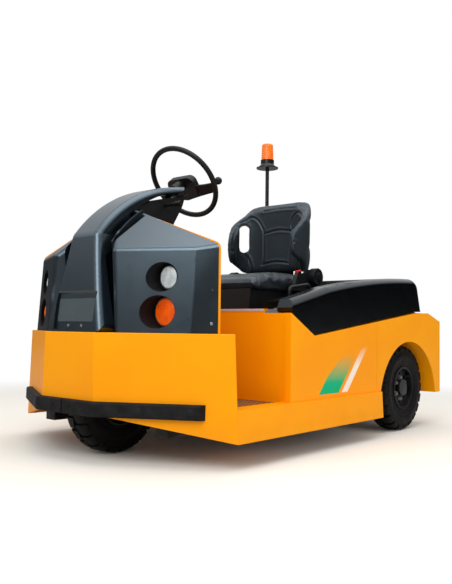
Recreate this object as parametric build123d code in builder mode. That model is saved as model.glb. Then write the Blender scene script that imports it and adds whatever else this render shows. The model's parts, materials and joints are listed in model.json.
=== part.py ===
import os
from math import atan2, cos, degrees, hypot, radians, sin, sqrt

from build123d import *

os.makedirs("parts", exist_ok=True)

# Electric three-wheel tow tractor. Millimetres. X forward, Y to the driver's left, Z up, ground at Z = 0.

# Running gear
wheelbase = 1380.0
front_axle_x = 792.0
rear_axle_x = front_axle_x - wheelbase
tyre_radius = 207.5
tyre_width = 106.0
rim_radius = 101.5
rear_wheel_outer_y = 571.0
shaft_radius = 17.5
fork_pin_radius = 12.5
running_fit = 0.05
face_gap = 0.3

# Yellow skirt round the nose: plan at its top, lean of its plates, heights
nose_rear_x = 765.0
nose_front_x = 1020.0
nose_front_half = 143.0
body_half = 597.0
nose_top_z = 473.0
nose_plate = 8.0
plate_lean = 20.0
nose_low_rear_z = 94.0
nose_low_front_z = 179.0

# Rubber strips round the nose
strip_low_z = 172.0
strip_height = 54.0
strip_thickness = 24.0
strip_end_y = 513.0
strip_split = 6.0

# Sills, floor, walls
sill_top_z = 211.0
sill_plate = 12.0
sill_flange_y = 545.0
floor_top_z = 199.0
floor_plate = 6.0
mat_thickness = 8.0
seat_wall_x = 415.0
seat_wall_top_z = 555.0
wall_plate = 5.0
panel_depth = 25.0
panel_plate = 5.0
panel_joint_x = -255.0
panel_joint_gap = 2.0
ear_x = 428.0
vee_x = 260.0
vee_z = 466.0
deck_front_x = -661.0
deck_z = 579.0
deck_front_z = 576.0
deck_bend_x = -802.0
tail_front_x = -690.0
tail_plate = 8.0
tail_x = -948.0
tail_top_z = 537.0
tail_low_z = 170.0
arch_radius = 302.0
arch_centre_z = 133.0
housing_wall_y = 440.0
housing_plate = 4.0

# Round well of the steered wheel
well_radius = 222.0
well_plate = 4.0

# Frame under the body
rail_y = 330.0
rail_width = 60.0
rail_low_z = 100.0
rail_height = floor_top_z - floor_plate - rail_low_z

# Black nose cover: central arched spine and two swept wings
wall_rim = 6.0
spine_front_x = 1005.0
spine_low_half = 163.0
spine_mid_half = 128.0
spine_mid_z = 610.0
spine_half = 80.0
spine_bend_x = 957.0
spine_bend_z = 846.0
spine_thickness = 45.0
tail_thickness = 26.0
spine_back_x = 930.0
spine_shoulder = 24.0
arch_top_radius = 625.0
arch_chord_x = 580.0
arch_chord_z = 1078.0
spine_tip_x = 474.0
wing_side_y = 518.0
wing_low_corner = (840.0, 454.0)
wing_top_corner = (815.0, 453.0)
wing_face_angle = 62.8
wing_face_low = 285.0
wing_face_top = 319.0
wing_inner_half = 112.0
wing_crease_z = 780.0
wing_top_slope = 0.824
wing_ridge_z = 937.0
wing_corner_radius = 24.0
wing_inner_radius = 24.0
wing_return = 95.0
spine_bend_radius = 40.0
web_half = 62.0
lip_width = 12.0
lip_depth = 50.0
lip_height = 45.0
lip_front_x = 918.0
lip_groove = 20.0
groove_floor = 84.0
trough_end = 8.0
trough_depth = 90.0
recess_low_z = 482.0
recess_high_z = 628.0
recess_half = 116.0
recess_depth = 11.0
plate_width = 210.0
plate_height = 88.0
plate_thickness = 3.0

# Lamps in the wings
head_y = 346.0
head_z = 675.0
head_pocket_radius = 54.0
head_radius = 41.0
head_pocket_x = 832.0
turn_y = 339.0
turn_z = 549.0
turn_pocket_radius = 60.0
turn_radius = 50.0
turn_pocket_x = 840.0
lamp_depth = 13.0

# Steering column and wheel
column_half = 70.0
column_collar = 75.0
shaft_depth = 60.0
column_shaft = 10.0
hand_x = 407.0
hand_z = 1135.0
hand_tilt = 51.5
hand_radius = 177.0
hand_tube = 11.5
hub_width = 150.0
hub_height = 96.0
hub_thickness = 36.0
hub_sink = 26.0
boss_radius = 24.0
knob_radius = 17.0
knob_stem = 7.0
knob_low = 17.0
knob_across = -32.0

# Tyres and rims
groove_width = 8.0
groove_depth = 6.0
rear_disc_y = 540.0
rim_hole_circle = 66.0
rim_hole_radius = 10.0
rim_hole_count = 8

# Front fork
crown_low_z = 425.0
crown_thickness = 25.0
crown_radius = 82.0
pivot_radius = 30.0
arm_inner_y = 62.0
arm_thickness = 12.0
arm_eye = 30.0
hub_half = 56.0

# Rear axle
tube_radius = 45.0
drum_radius = 75.0
drum_inner_y = 446.0
drum_outer_y = 480.0
stub_end_y = 548.0
rear_boss_inner_y = 500.0
rear_boss_outer_y = 560.0
gear_case_half = 120.0
gear_case_radius = 105.0
motor_radius = 85.0
motor_reach = 330.0
rail_drop_z = 155.0
rail_step_x = -420.0
rail_front_x = 850.0
member_front_x = 500.0
member_width = 50.0
member_height = 40.0

# Battery
battery_front_x = 400.0
battery_rear_x = -230.0
battery_half = 400.0
battery_height = 340.0

# Hitch
hitch_width = 160.0
hitch_low_z = 230.0
hitch_height = 220.0
hitch_plate = 12.0
tongue_width = 100.0
tongue_length = 85.0
tongue_thickness = 14.0
tongue_first_z = 270.0
tongue_pitch = 60.0
tow_bore_radius = 13.0
tow_bore_x = -1010.0
tail_lamp_y = 470.0
tail_lamp_z = 440.0

# Hood over the battery
hood_half = 592.0
hood_front_x = 413.0
hood_front_z = 590.0
hood_bend_x = 138.0
hood_bend_z = 651.0
hood_mid_x = -202.0
hood_mid_z = 698.0
hood_corner_x = -640.0
hood_corner_z = 727.0
hood_rear_x = -722.0
hood_wall = 5.0
hood_gap = 5.0
hood_rise = 20.0
hood_shoulder = 34.0
tray_half = 520.0
tray_rear_x = -215.0
tray_depth = 28.0
notch_half = 462.0
notch_x = 190.0
pit_half = 285.0
pit_rear_x = -362.0
shelf_z = 572.0
flange_plate = 9.0
flange_depth = 24.0
hinge_x = -737.0
hinge_z = 592.0
hinge_y = 300.0
hinge_pin_radius = 6.0
knuckle_radius = 11.0
knuckle_length = 24.0

# Seat
seat_half = 240.0
cushion_rear_x = -200.0
cushion_front_x = 205.0
cushion_low_z = 672.0
cushion_front_z = 711.0
cushion_top_z = 752.0
back_rear_x = -335.0
back_front_x = -290.0
back_wing_x = -138.0
wing_tip_y = 205.0
back_low_z = 772.0
back_top_z = 1150.0
slot_x = -279.0
slot_y = 210.0
slot_width = 56.0
slot_low_z = 892.0
slot_high_z = 1038.0
back_low_half = 190.0
back_top_half = 214.0
base_clearance = 83.0
base_rear_x = -205.0
base_front_x = 188.0
recliner_plate = 7.0
recliner_cover = 30.0
recliner_radius = 44.0
recliner_x = -268.0
recliner_z = 745.0
buckle_y = seat_half + recliner_plate + 2 * face_gap + 11.0
loop_y = 360.0
loop_front_x = 101.0
loop_rear_x = -58.0
loop_height = 46.0
loop_tube = 8.0

# Pedals
brake_y = -300.0
accelerator_y = -410.0

# Beacon
beacon_x = -810.0
beacon_y = -450.0
pole_radius = 11.0
pole_top_z = 1474.0
flange_radius = 67.0
beacon_base_z = 1478.0
dome_low_z = 1526.0
dome_top_z = 1625.0
dome_radius = 37.0


def nose_outline(height, grow=0.0):
    # Plan of the skirt at a height: its plates lean outwards as they go down
    lean = plate_lean * (nose_top_z - height) / (nose_top_z - nose_low_rear_z)
    run_x = nose_front_x - nose_rear_x
    run_y = body_half - nose_front_half
    length = hypot(run_x, run_y)
    normal = (run_y / length, run_x / length)
    shift = lean * normal[1] + grow
    front_x = nose_front_x + 0.15 * lean + grow
    # The oblique plate's line, moved out along its normal, met with the front face and the rear end
    reach = nose_front_x * normal[0] + nose_front_half * normal[1] + shift
    front_half = (reach - front_x * normal[0]) / normal[1]
    tail = nose_rear_x - 60.0
    tail_half = (reach - tail * normal[0]) / normal[1]
    return [(tail, -tail_half), (front_x, -front_half), (front_x, front_half), (tail, tail_half)]


def nose_form(low, high, grow=0.0, mode=Mode.ADD):
    with BuildSketch(Plane.XY.offset(low)) as foot:
        Polygon(*nose_outline(low, grow), align=None)
    with BuildSketch(Plane.XY.offset(high)) as head:
        Polygon(*nose_outline(high, grow), align=None)
    loft([foot.sketch, head.sketch], mode=mode)


def side_plane(y):
    # Drawing plane whose own x and y are the object's X and Z, at a distance y to the left
    return Plane(origin=(0, y, 0), x_dir=(1, 0, 0), z_dir=(0, -1, 0))


def cross_plane(x, y=0.0, z=0.0):
    # Drawing plane whose own x and y are the object's Y and Z
    return Plane(origin=(x, y, z), x_dir=(0, 1, 0), z_dir=(1, 0, 0))


def save(piece, name):
    piece.part.label = name
    export_step(piece.part, f"parts/{name}.step")


# Skirt: front plate, two oblique plates and the deck that closes them, in one welding
with BuildPart() as apron:
    nose_form(nose_low_rear_z - 10.0, nose_top_z)
    fillet(apron.edges().filter_by(lambda e: e.center().X > nose_front_x - 5 and abs(e.center().Y) > 50
                                   and abs(e.tangent_at(0.5).Z) > 0.8), 14.0)
    fillet(apron.edges().group_by(Axis.Z)[-1].sort_by(Axis.X)[1:], 3.0)
    nose_form(nose_low_rear_z - 12.0, nose_top_z - nose_plate, -nose_plate, mode=Mode.SUBTRACT)
    # The lower edge climbs towards the front
    with BuildSketch(side_plane(0)):
        Polygon((nose_rear_x - 100, nose_low_rear_z - 200),
                (nose_rear_x - 100, nose_low_rear_z - 32.0),
                (nose_rear_x, nose_low_rear_z),
                (nose_front_x, nose_low_front_z),
                (nose_front_x + 100, nose_low_front_z + 32.0),
                (nose_front_x + 100, nose_low_rear_z - 200), align=None)
    extrude(amount=800, both=True, mode=Mode.SUBTRACT)
    split(bisect_by=Plane.YZ.offset(nose_rear_x))
save(apron, "apron")

# Rubber strips: one from the middle of the nose round each corner
with BuildPart() as bumper_strips:
    nose_form(strip_low_z, strip_low_z + strip_height, strip_thickness)
    fillet(bumper_strips.edges().filter_by(lambda e: e.center().X > nose_front_x - 5 and abs(e.center().Y) > 50
                                           and abs(e.tangent_at(0.5).Z) > 0.8), 36.0)
    fillet(bumper_strips.faces().sort_by(Axis.Z)[-1].edges().sort_by(Axis.X)[1:], 8.0)
    fillet(bumper_strips.faces().sort_by(Axis.Z)[0].edges().sort_by(Axis.X)[1:], 8.0)
    nose_form(strip_low_z - 5, strip_low_z + strip_height + 5, 0.0, mode=Mode.SUBTRACT)
    with Locations((nose_front_x, 0, strip_low_z + strip_height / 2)):
        Box(200, strip_split, strip_height * 2, mode=Mode.SUBTRACT)
    for side in (-1, 1):
        with Locations((nose_rear_x - 100, side * (strip_end_y + 200), strip_low_z + strip_height / 2)):
            Box(1000, 400, strip_height * 2, mode=Mode.SUBTRACT)
    split(bisect_by=Plane.YZ.offset(nose_rear_x))
save(bumper_strips, "bumper_strips")

# Sill: a folded plate that carries on the skirt's lean, with a flange under the floor's edge
sill_end_x = rear_axle_x + sqrt(arch_radius**2 - (arch_centre_z - nose_low_rear_z)**2) + 6
sill_low_y = body_half + plate_lean
sill_top_y = body_half + plate_lean * (nose_top_z - sill_top_z) / (nose_top_z - nose_low_rear_z)
with BuildPart() as sill_left:
    with BuildSketch(cross_plane(sill_end_x)):
        Polygon((sill_low_y, nose_low_rear_z), (sill_top_y, sill_top_z), (sill_flange_y, sill_top_z),
                (sill_flange_y, sill_top_z - sill_plate), (sill_top_y - sill_plate, sill_top_z - sill_plate),
                (sill_low_y - sill_plate, nose_low_rear_z), align=None)
    extrude(amount=nose_rear_x - face_gap - sill_end_x)
save(sill_left, "sill_left")
with BuildPart() as sill_right:
    mirror(sill_left.part, about=Plane.XZ)
save(sill_right, "sill_right")


def well_cut(grow=0.0):
    # Round space that the steered wheel sweeps
    with Locations((front_axle_x, 0)):
        Circle(well_radius + grow, mode=Mode.SUBTRACT)


# Floor of the driver's space and its mat
with BuildPart() as floor_panel:
    with BuildSketch(Plane.XY.offset(floor_top_z - floor_plate)):
        with Locations(((nose_rear_x + seat_wall_x) / 2 - face_gap, 0)):
            Rectangle(nose_rear_x - seat_wall_x, 2 * (sill_flange_y - face_gap))
        well_cut()
    extrude(amount=floor_plate)
save(floor_panel, "floor_panel")

with BuildPart() as floor_mat:
    with BuildSketch(Plane.XY.offset(floor_top_z)):
        with Locations(((nose_rear_x + seat_wall_x) / 2, 0)):
            RectangleRounded(nose_rear_x - seat_wall_x - 16, 2 * (sill_flange_y - 4), 12)
        well_cut(well_plate + 4)
    extrude(amount=mat_thickness)
save(floor_mat, "floor_mat")

# Wall under the seat, at the back of the driver's space
with BuildPart() as seat_wall:
    wall_half = body_half - panel_depth - face_gap
    with BuildSketch(cross_plane(seat_wall_x - wall_plate)):
        Polygon((-wall_half, sill_top_z), (wall_half, sill_top_z),
                (wall_half, seat_wall_top_z), (-wall_half, seat_wall_top_z), align=None)
        Polygon((-sill_flange_y + face_gap, floor_top_z), (sill_flange_y - face_gap, floor_top_z),
                (sill_flange_y - face_gap, sill_top_z + 1), (-sill_flange_y + face_gap, sill_top_z + 1),
                align=None)
    extrude(amount=wall_plate)
    # Its top is folded back between the hood's front lobes
    with BuildSketch(side_plane(-(notch_half - hood_gap))):
        Polygon((seat_wall_x, seat_wall_top_z - 1), (seat_wall_x, shelf_z),
                (seat_wall_x - flange_depth, shelf_z), (seat_wall_x - flange_depth, shelf_z - flange_plate),
                (seat_wall_x - wall_plate, shelf_z - flange_plate),
                (seat_wall_x - wall_plate, seat_wall_top_z - 1), align=None)
    extrude(amount=-2 * (notch_half - hood_gap))
save(seat_wall, "seat_wall")


def arch_cut(grow=0.0):
    # Round wheel opening in a side panel
    with Locations((rear_axle_x, arch_centre_z)):
        Circle(arch_radius + grow, mode=Mode.SUBTRACT)


def panel_tray(points):
    # A side panel pressed from plate, with its edges turned in
    with BuildSketch(side_plane(body_half - panel_depth)) as outline:
        Polygon(*points, align=None)
        arch_cut()
    extrude(outline.sketch, amount=-panel_depth)
    with BuildSketch(side_plane(body_half - panel_depth)) as hollow:
        Polygon(*points, align=None)
        arch_cut()
        offset(amount=-panel_plate, kind=Kind.INTERSECTION)
    extrude(hollow.sketch, amount=-(panel_depth - panel_plate), mode=Mode.SUBTRACT)


with BuildPart() as side_panel_left:
    vee_slope = (deck_front_z - vee_z) / (deck_front_x - vee_x)
    joint_z = vee_z + (panel_joint_x - vee_x) * vee_slope
    panel_tray([(panel_joint_x, sill_top_z), (ear_x, sill_top_z), (ear_x, seat_wall_top_z),
                (ear_x - 2, seat_wall_top_z), (vee_x, vee_z), (panel_joint_x, joint_z)])
save(side_panel_left, "side_panel_left")
with BuildPart() as side_panel_right:
    mirror(side_panel_left.part, about=Plane.XZ)
save(side_panel_right, "side_panel_right")

with BuildPart() as quarter_panel_left:
    front_x = panel_joint_x - panel_joint_gap
    panel_tray([(front_x, sill_top_z), (front_x, vee_z + (front_x - vee_x) * vee_slope),
                (deck_front_x, deck_front_z), (deck_bend_x, deck_z), (tail_x, tail_top_z),
                (tail_x, tail_low_z), (rear_axle_x, tail_low_z), (rear_axle_x, sill_top_z)])
save(quarter_panel_left, "quarter_panel_left")
with BuildPart() as quarter_panel_right:
    mirror(quarter_panel_left.part, about=Plane.XZ)
save(quarter_panel_right, "quarter_panel_right")

# Wheel housing: inner wall and the curved liner out to the panel
with BuildPart() as wheel_housing_left:
    liner_y = body_half - panel_depth - face_gap
    with BuildSketch(side_plane(housing_wall_y)) as wall_shape:
        with Locations((rear_axle_x, arch_centre_z)):
            Circle(arch_radius + housing_plate)
        with Locations((rear_axle_x, tail_low_z - 200)):
            Rectangle(1000, 400, mode=Mode.SUBTRACT)
    extrude(amount=-(liner_y - housing_wall_y))
    with BuildSketch(side_plane(housing_wall_y + housing_plate)):
        with Locations((rear_axle_x, arch_centre_z)):
            Circle(arch_radius)
    extrude(amount=-400, mode=Mode.SUBTRACT)
    with BuildSketch(side_plane(housing_wall_y - 1)):
        with Locations((rear_axle_x, tyre_radius)):
            Circle(62)
    extrude(amount=-20, mode=Mode.SUBTRACT)
save(wheel_housing_left, "wheel_housing_left")
with BuildPart() as wheel_housing_right:
    mirror(wheel_housing_left.part, about=Plane.XZ)
save(wheel_housing_right, "wheel_housing_right")

# Tail: deck behind the hood, slope and rear plate, in one folded sheet
with BuildPart() as tail_panel:
    tail_half = body_half - panel_depth - face_gap
    with BuildSketch(side_plane(-tail_half)):
        with BuildLine():
            Polyline((tail_front_x, deck_z), (deck_bend_x, deck_z), (tail_x, tail_top_z),
                     (tail_x, tail_low_z), (tail_x + tail_plate, tail_low_z),
                     (tail_x + tail_plate, tail_top_z - tail_plate / 2),
                     (deck_bend_x + tail_plate / 4, deck_z - tail_plate),
                     (tail_front_x, deck_z - tail_plate), close=True)
        make_face()
    extrude(amount=-2 * tail_half)
    # Fixed knuckles and pins of the hood's two hinges
    for side in (-1, 1):
        for place in (-1, 1):
            low_y = side * hinge_y + place * (knuckle_length + 1) - knuckle_length / 2
            with BuildSketch(side_plane(low_y)):
                with Locations((hinge_x, hinge_z)):
                    Circle(knuckle_radius)
                Polygon((hinge_x - knuckle_radius, hinge_z), (hinge_x + knuckle_radius, hinge_z),
                        (hinge_x + knuckle_radius, deck_z - 1), (hinge_x - knuckle_radius, deck_z - 1),
                        align=None)
            extrude(amount=-knuckle_length)
        with BuildSketch(side_plane(side * hinge_y - 1.5 * knuckle_length)):
            with Locations((hinge_x, hinge_z)):
                Circle(hinge_pin_radius)
        extrude(amount=-3 * knuckle_length)
save(tail_panel, "tail_panel")

# Round well of the steered wheel, behind the nose
well_roof_z = nose_top_z - nose_plate
wall_rear_x = nose_rear_x - face_gap - wall_plate
with BuildPart() as wheel_well:
    with BuildSketch(Plane.XY.offset(floor_top_z)):
        with Locations((front_axle_x, 0)):
            Circle(well_radius + well_plate)
    extrude(amount=well_roof_z + well_plate - floor_top_z)
    with BuildSketch(Plane.XY.offset(floor_top_z)):
        with Locations((front_axle_x, 0)):
            Circle(well_radius)
    extrude(amount=well_roof_z - floor_top_z, mode=Mode.SUBTRACT)
    split(bisect_by=Plane.YZ.offset(wall_rear_x), keep=Keep.BOTTOM)
save(wheel_well, "wheel_well")

# The arch of the spine, seen from the side: centre of its two arcs and places along it
chord = hypot(spine_bend_x - arch_chord_x, arch_chord_z - spine_bend_z)
arch_drop = sqrt(arch_top_radius**2 - chord**2 / 4)
arch_x = (spine_bend_x + arch_chord_x) / 2 - arch_drop * (arch_chord_z - spine_bend_z) / chord
arch_z = (spine_bend_z + arch_chord_z) / 2 - arch_drop * (spine_bend_x - arch_chord_x) / chord
arch_end_angle = degrees(atan2(arch_chord_z - arch_z, arch_chord_x - arch_x))


def arch_at(x, depth):
    # Point of the arch at a given X, so far below its outer face
    return (x, arch_z + sqrt((arch_top_radius - depth)**2 - (x - arch_x)**2))


def arch_end(depth, further=0.0):
    # End of the arch, and places on the straight tail beyond it
    angle = radians(arch_end_angle)
    reach = arch_top_radius - depth
    return (arch_x + reach * cos(angle) - further * sin(angle),
            arch_z + reach * sin(angle) + further * cos(angle))


def arch_line(start_x, depth):
    # The arc from a given X to the arch's end, in the side view
    start = arch_at(start_x, depth)
    finish = arch_end(depth)
    middle_x = (start[0] + finish[0]) / 2
    return ThreePointArc(start, arch_at(middle_x, depth), finish)


def wing_top(x, y):
    # Height of the sloping top of a wing
    run_x = sin(radians(wing_face_angle))
    run_y = cos(radians(wing_face_angle))
    back = (wing_top_corner[0] - x) * run_x + (wing_top_corner[1] - abs(y)) * run_y
    return wing_crease_z + wing_top_slope * back


# Wall between the driver's feet and the nose; above the deck it backs the nose cover
tail_length = (arch_chord_x - spine_tip_x) / sin(radians(arch_end_angle))
with BuildPart() as nose_wall:
    edge_y = wing_side_y + wall_rim
    foot_half = body_half - nose_plate
    with BuildSketch(cross_plane(wall_rear_x)) as wall_shape:
        with BuildSketch(mode=Mode.PRIVATE) as upper:
            Polygon((-edge_y, nose_top_z), (edge_y, nose_top_z),
                    (edge_y, wing_top(nose_rear_x, edge_y) + wall_rim),
                    (wing_inner_half, wing_ridge_z + wall_rim),
                    (-wing_inner_half, wing_ridge_z + wall_rim),
                    (-edge_y, wing_top(nose_rear_x, edge_y) + wall_rim), align=None)
            fillet(upper.vertices().filter_by(lambda v: abs(v.X) > edge_y - 1 and v.Y > nose_top_z + 1),
                   wing_corner_radius + wall_rim)
        add(upper.sketch)
        Polygon((-foot_half, sill_top_z + face_gap), (foot_half, sill_top_z + face_gap),
                (foot_half, nose_top_z), (-foot_half, nose_top_z), align=None)
        Polygon((-sill_flange_y + face_gap, floor_top_z), (sill_flange_y - face_gap, floor_top_z),
                (sill_flange_y - face_gap, sill_top_z + 1), (-sill_flange_y + face_gap, sill_top_z + 1),
                align=None)
        well_half = sqrt(well_radius**2 - (front_axle_x - wall_rear_x)**2)
        Polygon((-well_half, 0), (well_half, 0), (well_half, well_roof_z), (-well_half, well_roof_z),
                align=None, mode=Mode.SUBTRACT)
    extrude(amount=wall_plate)
save(nose_wall, "nose_wall")

# One wing of the cover: walls that lean in, closed by a sloping top
cover_rear_x = nose_rear_x
wing_peak_z = 1000.0


def wing_section(height):
    part_up = (height - nose_top_z) / (wing_crease_z - nose_top_z)
    corner_x = wing_low_corner[0] + part_up * (wing_top_corner[0] - wing_low_corner[0])
    corner_y = wing_low_corner[1] + part_up * (wing_top_corner[1] - wing_low_corner[1])
    face = wing_face_low + part_up * (wing_face_top - wing_face_low)
    inner_x = corner_x + face * cos(radians(wing_face_angle))
    inner_y = corner_y - face * sin(radians(wing_face_angle))
    with BuildSketch(Plane.XY.offset(height)) as section:
        Polygon((cover_rear_x, 0), (cover_rear_x, wing_side_y), (corner_x, corner_y), (inner_x, inner_y),
                (inner_x - wing_return, inner_y - wing_return), (inner_x - wing_return, 0), align=None)
    return section.sketch


with BuildPart() as wing_form:
    loft([wing_section(nose_top_z), wing_section(wing_peak_z)], ruled=True)
    run_x = sin(radians(wing_face_angle))
    run_y = cos(radians(wing_face_angle))
    split(bisect_by=Plane(origin=(wing_top_corner[0], wing_top_corner[1], wing_crease_z),
                          z_dir=(wing_top_slope * run_x, wing_top_slope * run_y, 1)),
          keep=Keep.BOTTOM)
    # Rounded edges: flank, crease and outer corner in one run, then the inner corner
    fillet(wing_form.edges().filter_by(lambda e: e.length > 60 and e.center().X > 780
                                       and (abs(e.center().Y - wing_top_corner[1]) < 3
                                            or abs(e.center().Z - wing_crease_z) < 12
                                            and e.center().X < wing_top_corner[0] + 80
                                            and e.center().Y > wing_side_y / 2)), wing_corner_radius)
    fillet(wing_form.edges().filter_by(lambda e: abs(e.tangent_at(0.5).Z) > 0.8 and e.length > 200
                                       and e.center().X > wing_top_corner[0] + 100
                                       and e.center().Y > wing_inner_half), wing_inner_radius)
    # Trough beside the spine's web, with a floor that runs along under the arch
    with BuildSketch(side_plane(web_half)):
        with BuildLine():
            arc = ThreePointArc(arch_at(cover_rear_x + trough_end, trough_depth), arch_at(850, trough_depth),
                                arch_at(960, trough_depth))
            Polyline(arc @ 1, (1100, (arc @ 1).Y), (1100, 1100), (cover_rear_x + trough_end, 1100), arc @ 0)
        make_face()
    extrude(amount=-(wing_inner_half - web_half), mode=Mode.SUBTRACT)
    # Groove on the outer side of the lip
    with BuildSketch(side_plane(wing_inner_half + lip_width)):
        with BuildLine():
            arc = ThreePointArc(arch_at(cover_rear_x + trough_end, groove_floor), arch_at(850, groove_floor),
                                arch_at(960, groove_floor))
            Polyline(arc @ 1, (1100, (arc @ 1).Y), (1100, 1100), (cover_rear_x + trough_end, 1100), arc @ 0)
        make_face()
    extrude(amount=-lip_groove, mode=Mode.SUBTRACT)
    # Raised lip along the trough
    with BuildSketch(side_plane(wing_inner_half)):
        with BuildLine():
            outer = ThreePointArc(arch_at(cover_rear_x, lip_depth), arch_at(860, lip_depth),
                                  arch_at(lip_front_x, lip_depth))
            inner = ThreePointArc(arch_at(cover_rear_x, lip_depth + lip_height),
                                  arch_at(860, lip_depth + lip_height),
                                  arch_at(lip_front_x - 19, lip_depth + lip_height))
            Line(outer @ 0, inner @ 0)
            Line(outer @ 1, inner @ 1)
        make_face()
    extrude(amount=-lip_width)


def on_face(point):
    # True on the outer face of the spine: its front, its arch and its straight tail
    tail = arch_end(0.0)
    if point.X > spine_bend_x - spine_bend_radius / 4:
        return True
    if point.X > tail[0]:
        return abs(hypot(point.X - arch_x, point.Z - arch_z) - arch_top_radius) < 1
    return point.Z > tail[1] - 1


# Spine: a bent beam that narrows upwards and arches over to the steering wheel
with BuildPart() as spine_form:
    with BuildSketch(side_plane(-spine_low_half)):
        with BuildLine():
            Line((spine_front_x, nose_top_z), (spine_bend_x, spine_bend_z))
            arch_line(spine_bend_x, 0.0)
            Polyline(arch_end(0.0), arch_end(0.0, tail_length), arch_end(tail_thickness, tail_length),
                     arch_end(tail_thickness))
            under = ThreePointArc(arch_at(cover_rear_x, spine_thickness),
                                  arch_at(670, (spine_thickness + tail_thickness) / 2), arch_end(tail_thickness))
            Polyline(under @ 0, (cover_rear_x, wing_ridge_z - lip_height), (spine_back_x, wing_crease_z - 20),
                     (spine_back_x, nose_top_z), (spine_front_x, nose_top_z))
        make_face()
        fillet(vertices().filter_by(lambda v: abs(v.X - spine_bend_x) < 1 and abs(v.Y - spine_bend_z) < 1),
               spine_bend_radius)
    extrude(amount=-2 * spine_low_half)
    with BuildSketch(cross_plane(0)):
        with BuildLine():
            left = ThreePointArc((spine_low_half, nose_top_z), (spine_mid_half, spine_mid_z),
                                 (spine_half, spine_bend_z))
            right = ThreePointArc((-spine_low_half, nose_top_z), (-spine_mid_half, spine_mid_z),
                                  (-spine_half, spine_bend_z))
            Polyline(left @ 1, (spine_half, 1200), (-spine_half, 1200), right @ 1)
            Line(left @ 0, right @ 0)
        make_face()
    extrude(amount=2000, mode=Mode.INTERSECT)
    fillet(spine_form.edges().filter_by(lambda e: abs(e.center().Y) > spine_half - 2 and on_face(e.center())),
           spine_shoulder)
    # Under the arch the beam stands on a narrower web
    for side in (-1, 1):
        with BuildSketch(side_plane(side * spine_half + (web_half - spine_half if side > 0 else 0))):
            with BuildLine():
                under = ThreePointArc(arch_at(cover_rear_x, spine_thickness), arch_at(850, spine_thickness),
                                      arch_at(920, spine_thickness))
                Polyline(under @ 1, (spine_back_x - 2, wing_crease_z - 60), (cover_rear_x, wing_crease_z),
                         under @ 0)
            make_face()
        extrude(amount=-(spine_half - web_half), mode=Mode.SUBTRACT)

front_lean = degrees(atan2(spine_front_x - spine_bend_x, spine_bend_z - nose_top_z))
front_normal = (cos(radians(front_lean)), 0, sin(radians(front_lean)))


def front_face(z):
    # X of the spine's front face at a height
    return spine_front_x - (z - nose_top_z) * (spine_front_x - spine_bend_x) / (spine_bend_z - nose_top_z)


# Steering wheel's own plane: x to the driver's right, y up the wheel, z towards the driver
tilt = radians(hand_tilt)
hand_plane = Plane(origin=(hand_x, 0, hand_z), x_dir=(0, -1, 0), z_dir=(-sin(tilt), 0, cos(tilt)))


def column_at(down, up):
    # Side-view point so far down the column from the wheel's centre, and so far up across it
    return (hand_x + down * sin(tilt) + up * cos(tilt), hand_z - down * cos(tilt) + up * sin(tilt))


def column_bore():
    # The shaft's bore, and the flat end across it under the wheel's collar
    with BuildSketch(hand_plane) as bore:
        Circle(column_shaft + running_fit)
    extrude(bore.sketch, amount=-(column_collar + shaft_depth + 10), mode=Mode.SUBTRACT)
    with BuildSketch(hand_plane) as collar:
        Circle(90)
    extrude(collar.sketch, amount=-column_collar, mode=Mode.SUBTRACT)


with BuildPart() as nose_cover:
    add(wing_form.part)
    mirror(about=Plane.XZ)
    add(spine_form.part)
    column_bore()
    # Recess for the plate, its upper edge sloping back to the face
    with BuildSketch(side_plane(-recess_half)):
        Polygon((front_face(recess_low_z) + 30, recess_low_z), (front_face(recess_high_z) + 30, recess_high_z),
                (front_face(recess_high_z), recess_high_z),
                (front_face(recess_high_z - recess_depth) - recess_depth, recess_high_z - recess_depth),
                (front_face(recess_low_z) - recess_depth, recess_low_z), align=None)
    extrude(amount=-2 * recess_half, mode=Mode.SUBTRACT)
    # Lamp pockets look straight ahead
    for pocket_x, lamp_y, lamp_z, pocket_radius in ((head_pocket_x, head_y, head_z, head_pocket_radius),
                                                    (turn_pocket_x, turn_y, turn_z, turn_pocket_radius)):
        with BuildSketch(cross_plane(pocket_x)):
            with Locations((lamp_y, lamp_z), (-lamp_y, lamp_z)):
                Circle(pocket_radius)
        extrude(amount=300, mode=Mode.SUBTRACT)
save(nose_cover, "nose_cover")


def lamp_pair(pocket_x, lamp_y, lamp_z, radius):
    # Two round lamps: a flat base ring and a bowed lens
    with BuildSketch(cross_plane(pocket_x)) as base:
        with Locations((lamp_y, lamp_z), (-lamp_y, lamp_z)):
            Circle(radius + 4)
    extrude(base.sketch, amount=lamp_depth / 2)
    with BuildSketch(cross_plane(pocket_x)) as lens:
        with Locations((lamp_y, lamp_z), (-lamp_y, lamp_z)):
            Circle(radius)
    extrude(lens.sketch, amount=lamp_depth)


with BuildPart() as headlamps:
    lamp_pair(head_pocket_x, head_y, head_z, head_radius)
    fillet(headlamps.faces().filter_by(Axis.X).group_by(Axis.X)[-1].edges(), lamp_depth / 3)
save(headlamps, "headlamps")
with BuildPart() as indicators:
    lamp_pair(turn_pocket_x, turn_y, turn_z, turn_radius)
    fillet(indicators.faces().filter_by(Axis.X).group_by(Axis.X)[-1].edges(), lamp_depth / 3)
save(indicators, "indicators")

# Blank plate in the recess of the spine
with BuildPart() as name_plate:
    plate_z = (recess_low_z + recess_high_z) / 2
    plate_plane = Plane(origin=(front_face(plate_z) - recess_depth, 0, plate_z), x_dir=(0, 1, 0),
                        z_dir=front_normal)
    with BuildSketch(plate_plane.offset(face_gap / 2)):
        RectangleRounded(plate_width, plate_height, 3)
    extrude(amount=plate_thickness)
save(name_plate, "name_plate")

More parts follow.
